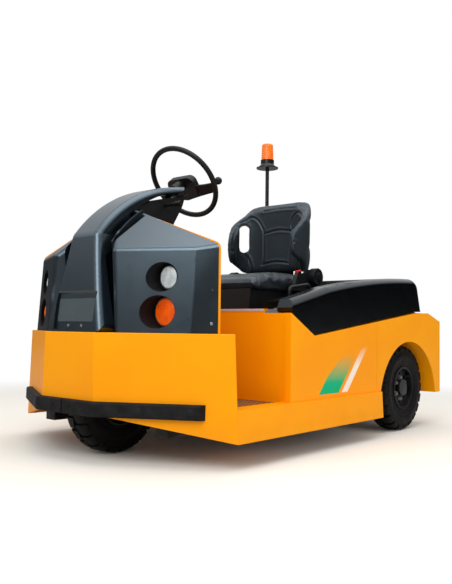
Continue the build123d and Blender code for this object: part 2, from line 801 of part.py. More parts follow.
# Housing of the steering column, from the wheel's collar down to the roof of the well
housing_gap = spine_thickness + face_gap
with BuildPart() as column_housing:
    with BuildSketch(side_plane(-column_half)):
        with BuildLine():
            rear_x = wall_rear_x - face_gap
            top = arch_line(rear_x, housing_gap)
            Polyline(top @ 1, arch_end(housing_gap, tail_length), column_at(column_collar, -26), (476, 1042),
                     (493, 988), (529, 932), (rear_x - 10, well_roof_z + well_plate + face_gap),
                     (rear_x, well_roof_z + well_plate + face_gap), top @ 0)
        make_face()
    extrude(amount=-2 * column_half)
    fillet(column_housing.edges().filter_by(lambda e: abs(e.center().Y) > column_half - 1
                                            and e.center().X < 640 and e.center().Z < 1030
                                            and e.length > 60), 12)
    # Direction lever
    with BuildSketch(side_plane(column_half - 4)):
        with Locations((592, 1000)):
            Circle(7)
    extrude(amount=-70)
    with BuildSketch(side_plane(column_half + 60)):
        with Locations((592, 1000)):
            Circle(11)
    extrude(amount=-34)
    column_bore()
save(column_housing, "column_housing")

# Steering wheel: rim, two broad spokes that droop, hub and spinner knob
with BuildPart() as hand_wheel:
    with BuildSketch(hand_plane.offset(-hub_sink)):
        with Locations((0, -18)):
            RectangleRounded(hub_width, hub_height, 30)
    extrude(amount=hub_thickness)
    fillet(hand_wheel.faces().sort_by(Axis(hand_plane.origin, hand_plane.z_dir))[-1].edges(), 9)
    with Locations(hand_plane):
        Torus(hand_radius - hand_tube, hand_tube)
    for side in (-1, 1):
        for along, across, depth, breadth, thick in ((0, -38, -17, 84, 16), (58, -42, -15, 60, 15),
                                                     (hand_radius - hand_tube - 4, -44, 0, 46, 12)):
            corner = hand_plane.from_local_coords((side * along, across, depth))
            with BuildSketch(Plane(origin=corner, x_dir=hand_plane.y_dir, z_dir=hand_plane.x_dir * side)):
                RectangleRounded(breadth, thick, thick / 2.5)
        loft()
    with BuildSketch(hand_plane.offset(-hub_sink)):
        Circle(boss_radius)
    extrude(amount=-(column_collar - hub_sink - face_gap))
    with BuildSketch(hand_plane.offset(-hub_sink)):
        Circle(column_shaft)
    extrude(amount=-(column_collar + shaft_depth - hub_sink))
    knob_along = -sqrt((hand_radius - hand_tube)**2 - knob_across**2)
    knob_foot = hand_plane.from_local_coords((knob_along, knob_across, 0))
    with BuildSketch(Plane(origin=knob_foot, x_dir=hand_plane.x_dir, z_dir=-hand_plane.y_dir)):
        with BuildLine():
            ball = ThreePointArc((knob_stem, knob_low), (knob_radius, knob_low + knob_radius - 2),
                                 (knob_stem, knob_low + 2 * knob_radius - 4))
            Polyline(ball @ 1, (0, (ball @ 1).Y), (0, 0), (knob_stem, 0), ball @ 0)
        make_face()
    revolve(axis=Axis(knob_foot, hand_plane.z_dir))
save(hand_wheel, "hand_wheel")

# Front fork: pivot pin, crown, two arms and the axle
with BuildPart() as front_fork:
    with BuildSketch(Plane.XY.offset(crown_low_z)):
        with Locations((front_axle_x, 0)):
            Circle(crown_radius)
    extrude(amount=crown_thickness)
    with BuildSketch(Plane.XY.offset(crown_low_z)):
        with Locations((front_axle_x, 0)):
            Circle(pivot_radius)
    extrude(amount=nose_top_z - nose_plate - 1 - crown_low_z)
    for side in (-1, 1):
        with BuildSketch(side_plane(side * (arm_inner_y + arm_thickness / 2) - arm_thickness / 2)):
            with BuildLine():
                Polyline((front_axle_x - 45, crown_low_z + 2), (front_axle_x + 45, crown_low_z + 2),
                         (front_axle_x + arm_eye, tyre_radius), (front_axle_x - arm_eye, tyre_radius), close=True)
            make_face()
            with Locations((front_axle_x, tyre_radius)):
                Circle(arm_eye)
        extrude(amount=-arm_thickness)
    axle_half = arm_inner_y + arm_thickness + 6
    with BuildSketch(side_plane(-axle_half)):
        with Locations((front_axle_x, tyre_radius)):
            Circle(fork_pin_radius)
    extrude(amount=-2 * axle_half)
save(front_fork, "front_fork")

# Ring under the deck that carries the fork's pivot
with BuildPart() as steering_bearing:
    with BuildSketch(Plane.XY.offset(crown_low_z + crown_thickness + face_gap)):
        with Locations((front_axle_x, 0)):
            Circle(crown_radius)
            Circle(pivot_radius + running_fit, mode=Mode.SUBTRACT)
    extrude(amount=nose_top_z - nose_plate - crown_low_z - crown_thickness - face_gap)
save(steering_bearing, "steering_bearing")


def band(y_low, y_high, radius_low, radius_high):
    # Rectangle of a wheel's half section, on the plane through its axle
    with Locations(((y_low + y_high) / 2, tyre_radius + (radius_low + radius_high) / 2)):
        Rectangle(y_high - y_low, radius_high - radius_low)


def tyre(x, y):
    # Tyre with a rounded carcass, a flat tread and two grooves round it
    half = tyre_width / 2
    bead = rim_radius + face_gap
    with BuildSketch(cross_plane(x)) as section:
        with BuildLine():
            left = ThreePointArc((y - half * 0.8, tyre_radius + bead), (y - half, tyre_radius + bead + 48),
                                 (y - half * 0.86, 2 * tyre_radius - 12))
            right = ThreePointArc((y + half * 0.8, tyre_radius + bead), (y + half, tyre_radius + bead + 48),
                                  (y + half * 0.86, 2 * tyre_radius - 12))
            tread = ThreePointArc((y - half * 0.7, 2 * tyre_radius - 1.5), (y, 2 * tyre_radius),
                                  (y + half * 0.7, 2 * tyre_radius - 1.5))
            Line(left @ 1, tread @ 0)
            Line(right @ 1, tread @ 1)
            Line(left @ 0, right @ 0)
        make_face()
        for side in (-1, 1):
            with Locations((y + side * half * 0.3, 2 * tyre_radius)):
                Rectangle(groove_width, 2 * groove_depth, mode=Mode.SUBTRACT)
    revolve(section.sketch, axis=Axis((x, 0, tyre_radius), (0, 1, 0)))


with BuildPart() as front_tyre:
    tyre(front_axle_x, 0)
save(front_tyre, "front_tyre")

rim_half = tyre_width / 2 - 5
with BuildPart() as front_rim:
    with BuildSketch(cross_plane(front_axle_x)):
        band(-hub_half, hub_half, fork_pin_radius + running_fit, 32)
        band(-6, 6, 30, rim_radius - 4)
        band(-rim_half, rim_half, rim_radius - 7, rim_radius)
    revolve(axis=Axis((front_axle_x, 0, tyre_radius), (0, 1, 0)))
save(front_rim, "front_rim")

rear_tyre_y = rear_wheel_outer_y - tyre_width / 2
with BuildPart() as rear_tyre_left:
    tyre(rear_axle_x, rear_tyre_y)
save(rear_tyre_left, "rear_tyre_left")
with BuildPart() as rear_tyre_right:
    mirror(rear_tyre_left.part, about=Plane.XZ)
save(rear_tyre_right, "rear_tyre_right")

# Rear rim: barrel, dished disc with hand holes and the hub that turns on the stub
with BuildPart() as rear_rim_left:
    with BuildSketch(cross_plane(rear_axle_x)):
        band(rear_boss_inner_y, rear_boss_outer_y, shaft_radius + running_fit, 38)
        band(rear_disc_y - 4, rear_disc_y + 4, 36, rim_radius - 4)
        band(rear_tyre_y - rim_half, rear_tyre_y + rim_half, rim_radius - 7, rim_radius)
    revolve(axis=Axis((rear_axle_x, 0, tyre_radius), (0, 1, 0)))
    with BuildSketch(side_plane(rear_disc_y - 10)):
        with Locations((rear_axle_x, tyre_radius)):
            with PolarLocations(rim_hole_circle, rim_hole_count):
                Circle(rim_hole_radius)
    extrude(amount=-20, mode=Mode.SUBTRACT)
save(rear_rim_left, "rear_rim_left")
with BuildPart() as rear_rim_right:
    mirror(rear_rim_left.part, about=Plane.XZ)
save(rear_rim_right, "rear_rim_right")

# Drive axle: central gear case with its motor, tubes, drums and stubs, one welding
with BuildPart() as drive_axle:
    with BuildSketch(cross_plane(rear_axle_x)):
        band(-gear_case_half, gear_case_half, 0, gear_case_radius)
        band(-drum_inner_y - 1, drum_inner_y + 1, 0, tube_radius)
        band(drum_inner_y, drum_outer_y, 0, drum_radius)
        band(-drum_outer_y, -drum_inner_y, 0, drum_radius)
        band(-stub_end_y, stub_end_y, 0, shaft_radius)
    revolve(axis=Axis((rear_axle_x, 0, tyre_radius), (0, 1, 0)))
    chamfer(drive_axle.edges().filter_by(GeomType.CIRCLE)
            .filter_by(lambda e: abs(e.radius - gear_case_radius) < 1), 24)
    with BuildSketch(cross_plane(rear_axle_x)):
        with Locations((0, tyre_radius + 20)):
            Circle(motor_radius)
    extrude(amount=motor_reach)
    # Saddles on the rails
    for side in (-1, 1):
        with BuildSketch(cross_plane(rear_axle_x - 50)):
            with Locations((side * rail_y, (rail_drop_z + tyre_radius) / 2)):
                Rectangle(rail_width, tyre_radius - rail_drop_z)
        extrude(amount=100)
save(drive_axle, "drive_axle")

# Frame: two rails that step down under the axle, and cross members
with BuildPart() as chassis_frame:
    rail_top_z = rail_low_z + rail_height
    for side in (-1, 1):
        with BuildSketch(side_plane(side * rail_y - rail_width / 2)):
            Polygon((tail_x + tail_plate + face_gap, rail_low_z), (rail_front_x, rail_low_z),
                    (rail_front_x, rail_top_z), (rail_step_x, rail_top_z), (rail_step_x - 60, rail_drop_z),
                    (tail_x + tail_plate + face_gap, rail_drop_z), align=None)
        extrude(amount=-rail_width)
    for member_x in (tail_x + 70, rail_step_x + 60, -60, member_front_x):
        with BuildSketch(cross_plane(member_x - member_width / 2)):
            with Locations((0, rail_low_z + member_height / 2)):
                Rectangle(2 * rail_y, member_height)
        extrude(amount=member_width)
save(chassis_frame, "chassis_frame")

# Battery: one heavy block on the rails
with BuildPart() as battery:
    with Locations(((battery_front_x + battery_rear_x) / 2, 0, rail_top_z + battery_height / 2)):
        Box(battery_front_x - battery_rear_x, 2 * battery_half, battery_height)
save(battery, "battery")

# Stepped hitch: a plate on the tail and three tongues with one bore through them
with BuildPart() as tow_hitch:
    with BuildSketch(cross_plane(tail_x - hitch_plate)):
        with Locations((0, hitch_low_z + hitch_height / 2)):
            RectangleRounded(hitch_width, hitch_height, 10)
    extrude(amount=hitch_plate)
    for step in range(3):
        with BuildSketch(Plane.XY.offset(tongue_first_z + step * tongue_pitch - tongue_thickness / 2)) as tongue:
            with Locations((tail_x - hitch_plate - tongue_length / 2 + 1, 0)):
                Rectangle(tongue_length + 2, tongue_width)
            fillet(tongue.vertices().sort_by(Axis.X)[:2], 26)
            with Locations((tow_bore_x, 0)):
                Circle(tow_bore_radius, mode=Mode.SUBTRACT)
        extrude(amount=tongue_thickness)
save(tow_hitch, "tow_hitch")

# Tail lamps
with BuildPart() as tail_lamps:
    with BuildSketch(cross_plane(tail_x)):
        with Locations((tail_lamp_y, tail_lamp_z), (-tail_lamp_y, tail_lamp_z)):
            RectangleRounded(70, 110, 12)
    extrude(amount=-26)
    fillet(tail_lamps.faces().filter_by(Axis.X).group_by(Axis.X)[0].edges(), 6)
save(tail_lamps, "tail_lamps")


def vee_line(x, gap):
    # Height of the side panel's top edge at a given X, with a gap above it
    if x > vee_x:
        return vee_z + gap + (x - vee_x) * (seat_wall_top_z - vee_z) / (ear_x - vee_x)
    return vee_z + gap + (x - vee_x) * vee_slope


def hood_form(inset):
    # Closed form of the hood, drawn in by an inset all round: side profile, then the spaces round the seat
    low = hood_gap - (40.0 if inset else 0.0)
    with BuildSketch(side_plane(-(hood_half - inset))) as profile:
        with BuildLine():
            crown = ThreePointArc((hood_bend_x, hood_bend_z + hood_rise - inset),
                                  (hood_mid_x, hood_mid_z + hood_rise - inset),
                                  (hood_corner_x, hood_corner_z + hood_rise - inset))
            Polyline(crown @ 1, (hood_corner_x - 42 + inset, hood_corner_z - 22), (hood_rear_x + inset, deck_z + low),
                     (deck_front_x, deck_z + low), (vee_x, vee_line(vee_x, low)),
                     (hood_front_x - inset, vee_line(hood_front_x, low)),
                     (hood_front_x - inset, hood_front_z + hood_rise - hood_shoulder),
                     (hood_front_x - hood_shoulder / 2, hood_front_z + hood_rise - inset), crown @ 0)
        make_face()
    extrude(profile.sketch, amount=-2 * (hood_half - inset))


def tray_at(x):
    # Height of the tray's floor beside the seat
    rise = (hood_mid_z + 2 - hood_bend_z) / (hood_bend_x - tray_rear_x)
    return hood_bend_z - tray_depth + (hood_bend_x - x) * rise


def seat_space(grow):
    # Spaces cut into the hood: tray beside the seat, notch in front of it and the pit under it
    with BuildSketch(side_plane(-(tray_half + grow))) as tray:
        Polygon((hood_front_x + 60, hood_front_z - 60 - tray_depth - grow), (hood_front_x + 60, 1000),
                (tray_rear_x - 60 - grow, 1000), (tray_rear_x - 60 - grow, hood_mid_z + hood_rise + 12),
                (tray_rear_x - grow, tray_at(tray_rear_x) - grow),
                (hood_bend_x, hood_bend_z - tray_depth - grow),
                (hood_front_x - 60, hood_front_z + 14 - tray_depth - grow), align=None)
    extrude(tray.sketch, amount=-2 * (tray_half + grow), mode=Mode.SUBTRACT)
    with BuildSketch(Plane.XY.offset(shelf_z - grow)) as floor:
        with Locations(((notch_x + hood_front_x + 100) / 2 - grow / 2, 0)):
            Rectangle(hood_front_x + 100 - notch_x + grow, 2 * (notch_half + grow))
        with Locations(((pit_rear_x + notch_x) / 2 + 10, 0)):
            Rectangle(notch_x - pit_rear_x + 20 + 2 * grow, 2 * (pit_half + grow))
    extrude(floor.sketch, amount=400, mode=Mode.SUBTRACT)


# Hood: a shell over the battery, hinged at the rear, with the seat standing in its pit
def shoulders(form, inset):
    # Long upper edges of the hood's two sides
    return form.edges().filter_by(lambda e: abs(e.center().Y) > hood_half - inset - 1
                                  and e.center().Z > hood_front_z and e.center().X < hood_front_x - 20
                                  and e.center().X > hood_corner_x + 5)


with BuildPart() as hood_hollow:
    hood_form(hood_wall)
    fillet(shoulders(hood_hollow, hood_wall), hood_shoulder - hood_wall)
    seat_space(hood_wall)
with BuildPart() as hood:
    hood_form(0.0)
    fillet(shoulders(hood, 0.0), hood_shoulder)
    seat_space(0.0)
    add(hood_hollow.part, mode=Mode.SUBTRACT)
    # Room for the wall in front and its folded top
    with BuildSketch(cross_plane(seat_wall_x - wall_plate - hood_gap)):
        Polygon((-hood_half, 0), (hood_half, 0), (hood_half, seat_wall_top_z + hood_gap),
                (-hood_half, seat_wall_top_z + hood_gap), align=None)
    extrude(amount=100, mode=Mode.SUBTRACT)
    with BuildSketch(cross_plane(seat_wall_x - flange_depth - hood_gap)):
        Polygon((-notch_half, 0), (notch_half, 0), (notch_half, shelf_z + hood_gap),
                (-notch_half, shelf_z + hood_gap), align=None)
    extrude(amount=100, mode=Mode.SUBTRACT)
    # Middle knuckles of the two hinges, on straps from the rear edge
    for side in (-1, 1):
        with BuildSketch(side_plane(side * hinge_y - knuckle_length / 2)):
            with Locations((hinge_x, hinge_z)):
                Circle(knuckle_radius)
            Polygon((hinge_x, hinge_z), (hinge_x, hinge_z + knuckle_radius),
                    (hood_rear_x + 12, hinge_z + knuckle_radius + 14), (hood_rear_x + 7, hinge_z), align=None)
            with Locations((hinge_x, hinge_z)):
                Circle(hinge_pin_radius + running_fit, mode=Mode.SUBTRACT)
        extrude(amount=-knuckle_length)
save(hood, "hood")

# Seat base: a closed pedestal in the pit of the hood
with BuildPart() as seat_base:
    with BuildSketch(side_plane(-(pit_half - base_clearance))):
        Polygon((base_rear_x, shelf_z), (base_front_x, shelf_z), (base_front_x - 10, cushion_low_z - face_gap),
                (base_rear_x, cushion_low_z - face_gap), align=None)
    extrude(amount=-2 * (pit_half - base_clearance))
    fillet(seat_base.edges().filter_by(Axis.Z), 20)
save(seat_base, "seat_base")

# Seat cushion, with its side bolsters' outline
with BuildPart() as seat_cushion:
    with BuildSketch(side_plane(-seat_half)):
        with BuildLine():
            crown = ThreePointArc((cushion_front_x, cushion_front_z - 14), (-10, cushion_top_z - 6),
                                  (cushion_rear_x, cushion_top_z - 12))
            Polyline(crown @ 1, (cushion_rear_x, cushion_low_z), (cushion_front_x - 12, cushion_low_z), crown @ 0)
        make_face()
    extrude(amount=-2 * seat_half)
    fillet(seat_cushion.edges().filter_by(lambda e: e.center().Z > cushion_front_z
                                          and abs(e.center().Y) > seat_half - 1 and e.length > 300), 16)
save(seat_cushion, "seat_cushion")

# Seat back: a shell that wraps round at the sides, with a slot through each corner
with BuildPart() as seat_back:
    with BuildSketch(Plane.XY.offset(back_low_z)):
        with BuildLine():
            outer = Spline((back_wing_x - 16, wing_tip_y + 2), (back_wing_x - 75, seat_half - 5),
                           (back_wing_x - 145, seat_half - 13), (back_rear_x + 8, 170), (back_rear_x, 80),
                           (back_rear_x, -80), (back_rear_x + 8, -170), (back_wing_x - 145, 13 - seat_half),
                           (back_wing_x - 75, 5 - seat_half), (back_wing_x - 16, -wing_tip_y - 2))
            inner = Spline((back_wing_x - 16, wing_tip_y - 34), (back_wing_x - 75, seat_half - 48),
                           (back_wing_x - 122, seat_half - 68), (back_front_x + 4, 95), (back_front_x, 0),
                           (back_front_x + 4, -95), (back_wing_x - 122, 68 - seat_half),
                           (back_wing_x - 75, 48 - seat_half), (back_wing_x - 16, 34 - wing_tip_y))
            ThreePointArc(outer @ 0, (back_wing_x, wing_tip_y - 17), inner @ 0)
            ThreePointArc(outer @ 1, (back_wing_x, 17 - wing_tip_y), inner @ 1)
        make_face()
    extrude(amount=back_top_z - back_low_z)
    # Front view: the sides swell and the shoulders are round
    with BuildSketch(cross_plane(back_rear_x - 100)):
        with BuildLine():
            right = ThreePointArc((back_low_half, back_low_z), (seat_half, (back_low_z + back_top_z) / 2),
                                  (back_top_half, back_top_z - 50))
            left = ThreePointArc((-back_low_half, back_low_z), (-seat_half, (back_low_z + back_top_z) / 2),
                                 (-back_top_half, back_top_z - 50))
            Spline(right @ 1, (back_top_half - 18, back_top_z - 20), (back_top_half - 64, back_top_z - 4),
                   (0, back_top_z), (64 - back_top_half, back_top_z - 4),
                   (18 - back_top_half, back_top_z - 20), left @ 1)
            Line(right @ 0, left @ 0)
        make_face()
    extrude(amount=400, mode=Mode.INTERSECT)
    # Side view: the wings reach furthest forward low down
    with BuildSketch(side_plane(-seat_half - 10)):
        with BuildLine():
            tip = Spline((back_wing_x - 102, back_low_z), (back_wing_x - 50, back_low_z + 44),
                         (back_wing_x - 6, back_low_z + 92), (back_wing_x - 4, back_low_z + 172),
                         (back_wing_x - 44, back_low_z + 238), (back_wing_x - 100, back_low_z + 296),
                         (back_wing_x - 158, back_top_z - 30), (back_wing_x - 172, back_top_z))
            Polyline(tip @ 1, (back_rear_x - 1, back_top_z), (back_rear_x - 1, back_low_z), tip @ 0)
        make_face()
    extrude(amount=-2 * seat_half - 20, mode=Mode.INTERSECT)
    # Slots, each square to the corner that it goes through
    for side in (-1, 1):
        with BuildSketch(Plane(origin=(slot_x, side * slot_y, (slot_low_z + slot_high_z) / 2),
                               x_dir=(0, 0, 1), z_dir=(-1, side, 0))):
            SlotOverall(slot_high_z - slot_low_z, slot_width)
        extrude(amount=90, both=True, mode=Mode.SUBTRACT)
save(seat_back, "seat_back")

# Recliner: side plates that join the base to the back, with a round cover on each
with BuildPart() as seat_recliner:
    for side in (-1, 1):
        plate_y = seat_half + face_gap if side > 0 else -seat_half - face_gap - recliner_plate
        with BuildSketch(side_plane(plate_y)):
            Polygon((-60, cushion_low_z + 2), (-60, cushion_low_z + 34), (-215, recliner_z + 34),
                    (-300, recliner_z + 40), (-330, recliner_z + 14), (-300, cushion_low_z + 2), align=None)
        extrude(amount=-recliner_plate)
        cover_y = seat_half + face_gap if side > 0 else -seat_half - face_gap - recliner_cover
        with BuildSketch(side_plane(cover_y)):
            with Locations((recliner_x, recliner_z)):
                Circle(recliner_radius)
        extrude(amount=-recliner_cover)
    # Cross bar behind the cushion and the upright plate that carries the back
    with BuildSketch(cross_plane(back_rear_x - face_gap - recliner_plate)):
        Polygon((-seat_half - 1, recliner_z - 14), (seat_half + 1, recliner_z - 14),
                (seat_half + 1, recliner_z + 14), (-seat_half - 1, recliner_z + 14), align=None)
    extrude(amount=40)
    with BuildSketch(cross_plane(back_rear_x - face_gap - recliner_plate)):
        with Locations((0, recliner_z + 70)):
            RectangleRounded(150, 150, 20)
    extrude(amount=recliner_plate)
save(seat_recliner, "seat_recliner")

# Belt buckle on its stalk
with BuildPart() as buckle:
    with BuildSketch(side_plane(buckle_y - 11)):
        Polygon((-70, cushion_low_z + 20), (-88, cushion_low_z + 20), (-112, 733), (-92, 741), align=None)
    extrude(amount=-22)
    with BuildSketch(side_plane(buckle_y - 11)):
        Polygon((-92, 741), (-112, 733), (-134, 742), (-124, 762), (-104, 762), align=None)
    extrude(amount=-22)
save(buckle, "buckle")

# Grab loop beside the seat
loop_seat = loop_tube * (hood_mid_z - hood_bend_z) / (hood_bend_x - tray_rear_x) + 2 * face_gap
with BuildPart() as grab_loop:
    with BuildLine(side_plane(loop_y)) as loop_path:
        FilletPolyline((loop_front_x, tray_at(loop_front_x) + loop_seat),
                       (loop_front_x, tray_at(loop_front_x) + loop_height),
                       (loop_rear_x, tray_at(loop_rear_x) + loop_height),
                       (loop_rear_x, tray_at(loop_rear_x) + loop_seat), radius=24)
    with BuildSketch(Plane(origin=loop_path.line @ 0, z_dir=loop_path.line % 0)):
        Circle(loop_tube)
    sweep()
save(grab_loop, "grab_loop")

# Beacon: pole from the rear deck, dark base and amber dome
with BuildPart() as beacon_pole:
    with Locations((beacon_x, beacon_y, deck_z)):
        Cylinder(30, 8, align=(Align.CENTER, Align.CENTER, Align.MIN))
        Cylinder(pole_radius, pole_top_z - deck_z, align=(Align.CENTER, Align.CENTER, Align.MIN))
    with Locations((beacon_x, beacon_y, pole_top_z)):
        Cylinder(flange_radius, 6, align=(Align.CENTER, Align.CENTER, Align.MIN))
    with Locations((beacon_x, beacon_y, pole_top_z)):
        Cone(flange_radius - 8, dome_radius + 4, 26, align=(Align.CENTER, Align.CENTER, Align.MIN))
        Cylinder(dome_radius + 4, dome_low_z - pole_top_z, align=(Align.CENTER, Align.CENTER, Align.MIN))
save(beacon_pole, "beacon_pole")
with BuildPart() as beacon_dome:
    with Locations((beacon_x, beacon_y, dome_low_z)):
        Cone(dome_radius, dome_radius - 3, dome_top_z - dome_low_z, align=(Align.CENTER, Align.CENTER, Align.MIN))
    fillet(beacon_dome.faces().sort_by(Axis.Z)[-1].edges(), 9)
save(beacon_dome, "beacon_dome")

# Pedals on the wall of the footwell
with BuildPart() as pedals:
    for pedal_y, pedal_width in ((brake_y, 84), (accelerator_y, 60)):
        with BuildSketch(side_plane(pedal_y - 8)):
            Polygon((wall_rear_x, 440), (wall_rear_x, 400), (wall_rear_x - 14, 400), (wall_rear_x - 62, 290),
                    (wall_rear_x - 74, 296), (wall_rear_x - 26, 440), align=None)
        extrude(amount=-16)
        with BuildSketch(side_plane(pedal_y - pedal_width / 2)):
            Polygon((wall_rear_x - 50, 322), (wall_rear_x - 86, 262), (wall_rear_x - 96, 268),
                    (wall_rear_x - 60, 328), align=None)
        extrude(amount=-pedal_width)
save(pedals, "pedals")
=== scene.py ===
import json
import math

import bmesh
import bpy
import numpy as np
from mathutils import Matrix, Vector


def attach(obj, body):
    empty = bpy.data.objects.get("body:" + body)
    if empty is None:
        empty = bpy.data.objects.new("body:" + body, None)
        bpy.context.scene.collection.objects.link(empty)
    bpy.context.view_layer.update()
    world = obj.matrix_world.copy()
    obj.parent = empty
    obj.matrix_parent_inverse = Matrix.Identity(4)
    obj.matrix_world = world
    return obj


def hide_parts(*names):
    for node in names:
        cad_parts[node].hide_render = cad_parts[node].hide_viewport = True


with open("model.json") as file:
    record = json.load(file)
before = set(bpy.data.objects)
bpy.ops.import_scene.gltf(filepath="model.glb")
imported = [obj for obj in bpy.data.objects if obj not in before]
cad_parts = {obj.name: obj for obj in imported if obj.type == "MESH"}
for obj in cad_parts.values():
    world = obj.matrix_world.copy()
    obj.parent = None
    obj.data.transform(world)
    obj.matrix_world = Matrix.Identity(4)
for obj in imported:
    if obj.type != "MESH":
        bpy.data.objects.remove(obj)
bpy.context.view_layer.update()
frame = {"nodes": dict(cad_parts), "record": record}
nodes = frame["nodes"]
scene = bpy.context.scene
scene.view_settings.view_transform = "Standard"
print("frame loaded,", len(nodes), "nodes")

# camera at the photograph's viewing angle
viewing = {
    "place": (2.669, 2.154, 0.502),
    "heading": 220.46,      # degrees from +X, counterclockwise
    "pitch": 2.39,          # degrees upwards
    "roll": 0.695,
    "lens": 43.67,
    "sensor": 36,
    "shift": (0.00856, 0.0072),
}


def makeCamera():
    heading, pitch = math.radians(viewing["heading"]), math.radians(viewing["pitch"])
    ahead = Vector((math.cos(pitch) * math.cos(heading), math.cos(pitch) * math.sin(heading),
                    math.sin(pitch)))
    roll = Matrix.Rotation(math.radians(viewing["roll"]), 3, "Z")
    turn = ahead.to_track_quat("-Z", "Y").to_matrix() @ roll
    data = bpy.data.cameras.new("photoCamera")
    data.lens = viewing["lens"]
    data.sensor_width = viewing["sensor"]
    data.shift_x, data.shift_y = viewing["shift"]
    camera = bpy.data.objects.new("photoCamera", data)
    camera.matrix_world = Matrix.Translation(viewing["place"]) @ turn.to_4x4()
    scene.collection.objects.link(camera)
    scene.camera = camera


makeCamera()


class Sum:
    # wraps a socket, so that plain arithmetic on it adds Math nodes
    def __init__(self, owner, socket):
        self.owner, self.socket = owner, socket

    def step(self, operation, *values):
        # a Math node of the values given, or of this one alone
        inputs = dict(enumerate(values or (self,)))
        made = self.owner.add("ShaderNodeMath", {"operation": operation}, inputs)
        return Sum(self.owner, made.outputs[0])

    def __add__(self, other):
        return self.step("ADD", self, other)

    __radd__ = __add__

    def __sub__(self, other):
        return self.step("SUBTRACT", self, other)

    def __rsub__(self, other):
        return self.step("SUBTRACT", other, self)

    def __mul__(self, other):
        return self.step("MULTIPLY", self, other)

    __rmul__ = __mul__

    def __gt__(self, other):
        return self.step("GREATER_THAN", self, other)

    def __lt__(self, other):
        return self.step("LESS_THAN", self, other)


class Nodes:
    # the node tree of a material or of the world
    def __init__(self, owner, coordinate):
        owner.use_nodes = True
        self.tree = owner.node_tree
        self.tree.nodes.clear()
        self.place = self.add("ShaderNodeTexCoord", {}, {}).outputs[coordinate]

    def add(self, kind, settings, values):
        # one node: its settings first, then the values or links of its sockets
        made = self.tree.nodes.new(kind)
        for key, value in settings.items():
            setattr(made, key, value)
        for key, value in values.items():
            value = value.socket if isinstance(value, Sum) else value
            if isinstance(value, bpy.types.NodeSocket):
                self.tree.links.new(value, made.inputs[key])
            else:
                made.inputs[key].default_value = value
        return made

    def axes(self):
        parts = self.add("ShaderNodeSeparateXYZ", {}, {0: self.place})
        return [Sum(self, parts.outputs[i]) for i in range(3)]

    def noise(self, scale, detail=3.0, roughness=0.5):
        made = self.add("ShaderNodeTexNoise", {}, {"Vector": self.place, "Scale": scale,
                                                   "Detail": detail, "Roughness": roughness})
        return Sum(self, made.outputs[0])

    def cells(self, scale, feature="F1"):
        made = self.add("ShaderNodeTexVoronoi", {"feature": feature}, {"Vector": self.place, "Scale": scale})
        return Sum(self, made.outputs["Distance"])

    def wave(self, value, pitch):
        # 0 to 1 and back along a value, once each pitch
        return (value * (2 * math.pi / pitch)).step("SINE") * 0.5 + 0.5

    def soft(self, value, low, high):
        # 0 at low, 1 at high, with a smooth way between
        made = self.add("ShaderNodeMapRange", {"interpolation_type": "SMOOTHSTEP"},
                        {0: value, 1: low, 2: high, 3: 0.0, 4: 1.0})
        return Sum(self, made.outputs[0])

    def blend(self, share, first, second):
        made = self.add("ShaderNodeMix", {"data_type": "RGBA"}, {0: share, 6: first, 7: second})
        return made.outputs[2]

    def bump(self, height, distance, strength=1.0, after=None):
        values = {"Height": height, "Distance": distance, "Strength": strength}
        if after is not None:
            values["Normal"] = after
        return self.add("ShaderNodeBump", {}, values).outputs[0]


class Finish(Nodes):
    # a material with one Principled shader, whose fixed sockets are given by name
    def __init__(self, name, **fixed):
        self.material = bpy.data.materials.new(name)
        super().__init__(self.material, "Object")
        self.shader = self.add("ShaderNodeBsdfPrincipled", {}, fixed)
        self.output = self.add("ShaderNodeOutputMaterial", {}, {"Surface": self.shader.outputs[0]})

    def feed(self, name, value):
        self.tree.links.new(value.socket if isinstance(value, Sum) else value, self.shader.inputs[name])


def tint(red, green, blue):
    # screen colour, 0 to 255, as linear light
    linear = [c / 255 / 12.92 if c <= 10 else ((c / 255 + 0.055) / 1.055) ** 2.4 for c in (red, green, blue)]
    return (*linear, 1.0)


def grey(level):
    return (level, level, level, 1.0)


# yellow paint, with a little dust low down
paintLook = {
    "colour": tint(255, 164, 0), "deep": tint(253, 156, 0), "dust": tint(170, 112, 40),
    "dustFrom": (0.24, 0.09),   # heights without dust and with the most
    "dustShare": 0.1, "roughness": 0.34, "peel": 420.0,
}
# slanted stripes of the side panels
stripeLook = {
    "foot": 0.228,              # height of their lower ends
    "slant": 0.92,              # X lost for each metre up
    "pitch": 0.0095,            # of the lines into which they break up
    "lines": (0.67, 0.74),      # share of X and Z across those lines
    "thinning": 1.05, "edge": (0.18, 0.02),
    "green": {"front": 0.229, "back": 0.077, "whole": 0.262, "top": 0.385,
              "taper": (0.42, 1.12), "colour": tint(0, 178, 122)},
    "white": {"front": 0.052, "back": 0.004, "whole": 0.325, "top": 0.415,
              "colour": tint(250, 232, 215)},
}


def sideStripes(finish, colour, x, z):
    # whole up to a height, then ever thinner lines up to the top
    run = x + (z - stripeLook["foot"]) * stripeLook["slant"]
    alongX, alongZ = stripeLook["lines"]
    saw = ((z * alongZ - x * alongX) * (1 / stripeLook["pitch"])).step("FRACT")
    hard, gentle = stripeLook["edge"]
    for key in ("green", "white"):
        look = stripeLook[key]
        front, back, whole, top = look["front"], look["back"], look["whole"], look["top"]
        share = (z - whole) * (1 / (top - whole))
        thinned = share * stripeLook["thinning"]
        lines = finish.soft(saw, thinned - hard, thinned - gentle)
        if "taper" in look:
            drawnIn, start = look["taper"]
            lines = lines * ((run - back) * (1 / (front - back)) + share * drawnIn < start)
        inside = (run < front) * (run > back) * (z > stripeLook["foot"]) * (z < top)
        colour = finish.blend(inside * lines, colour, look["colour"])
    return colour


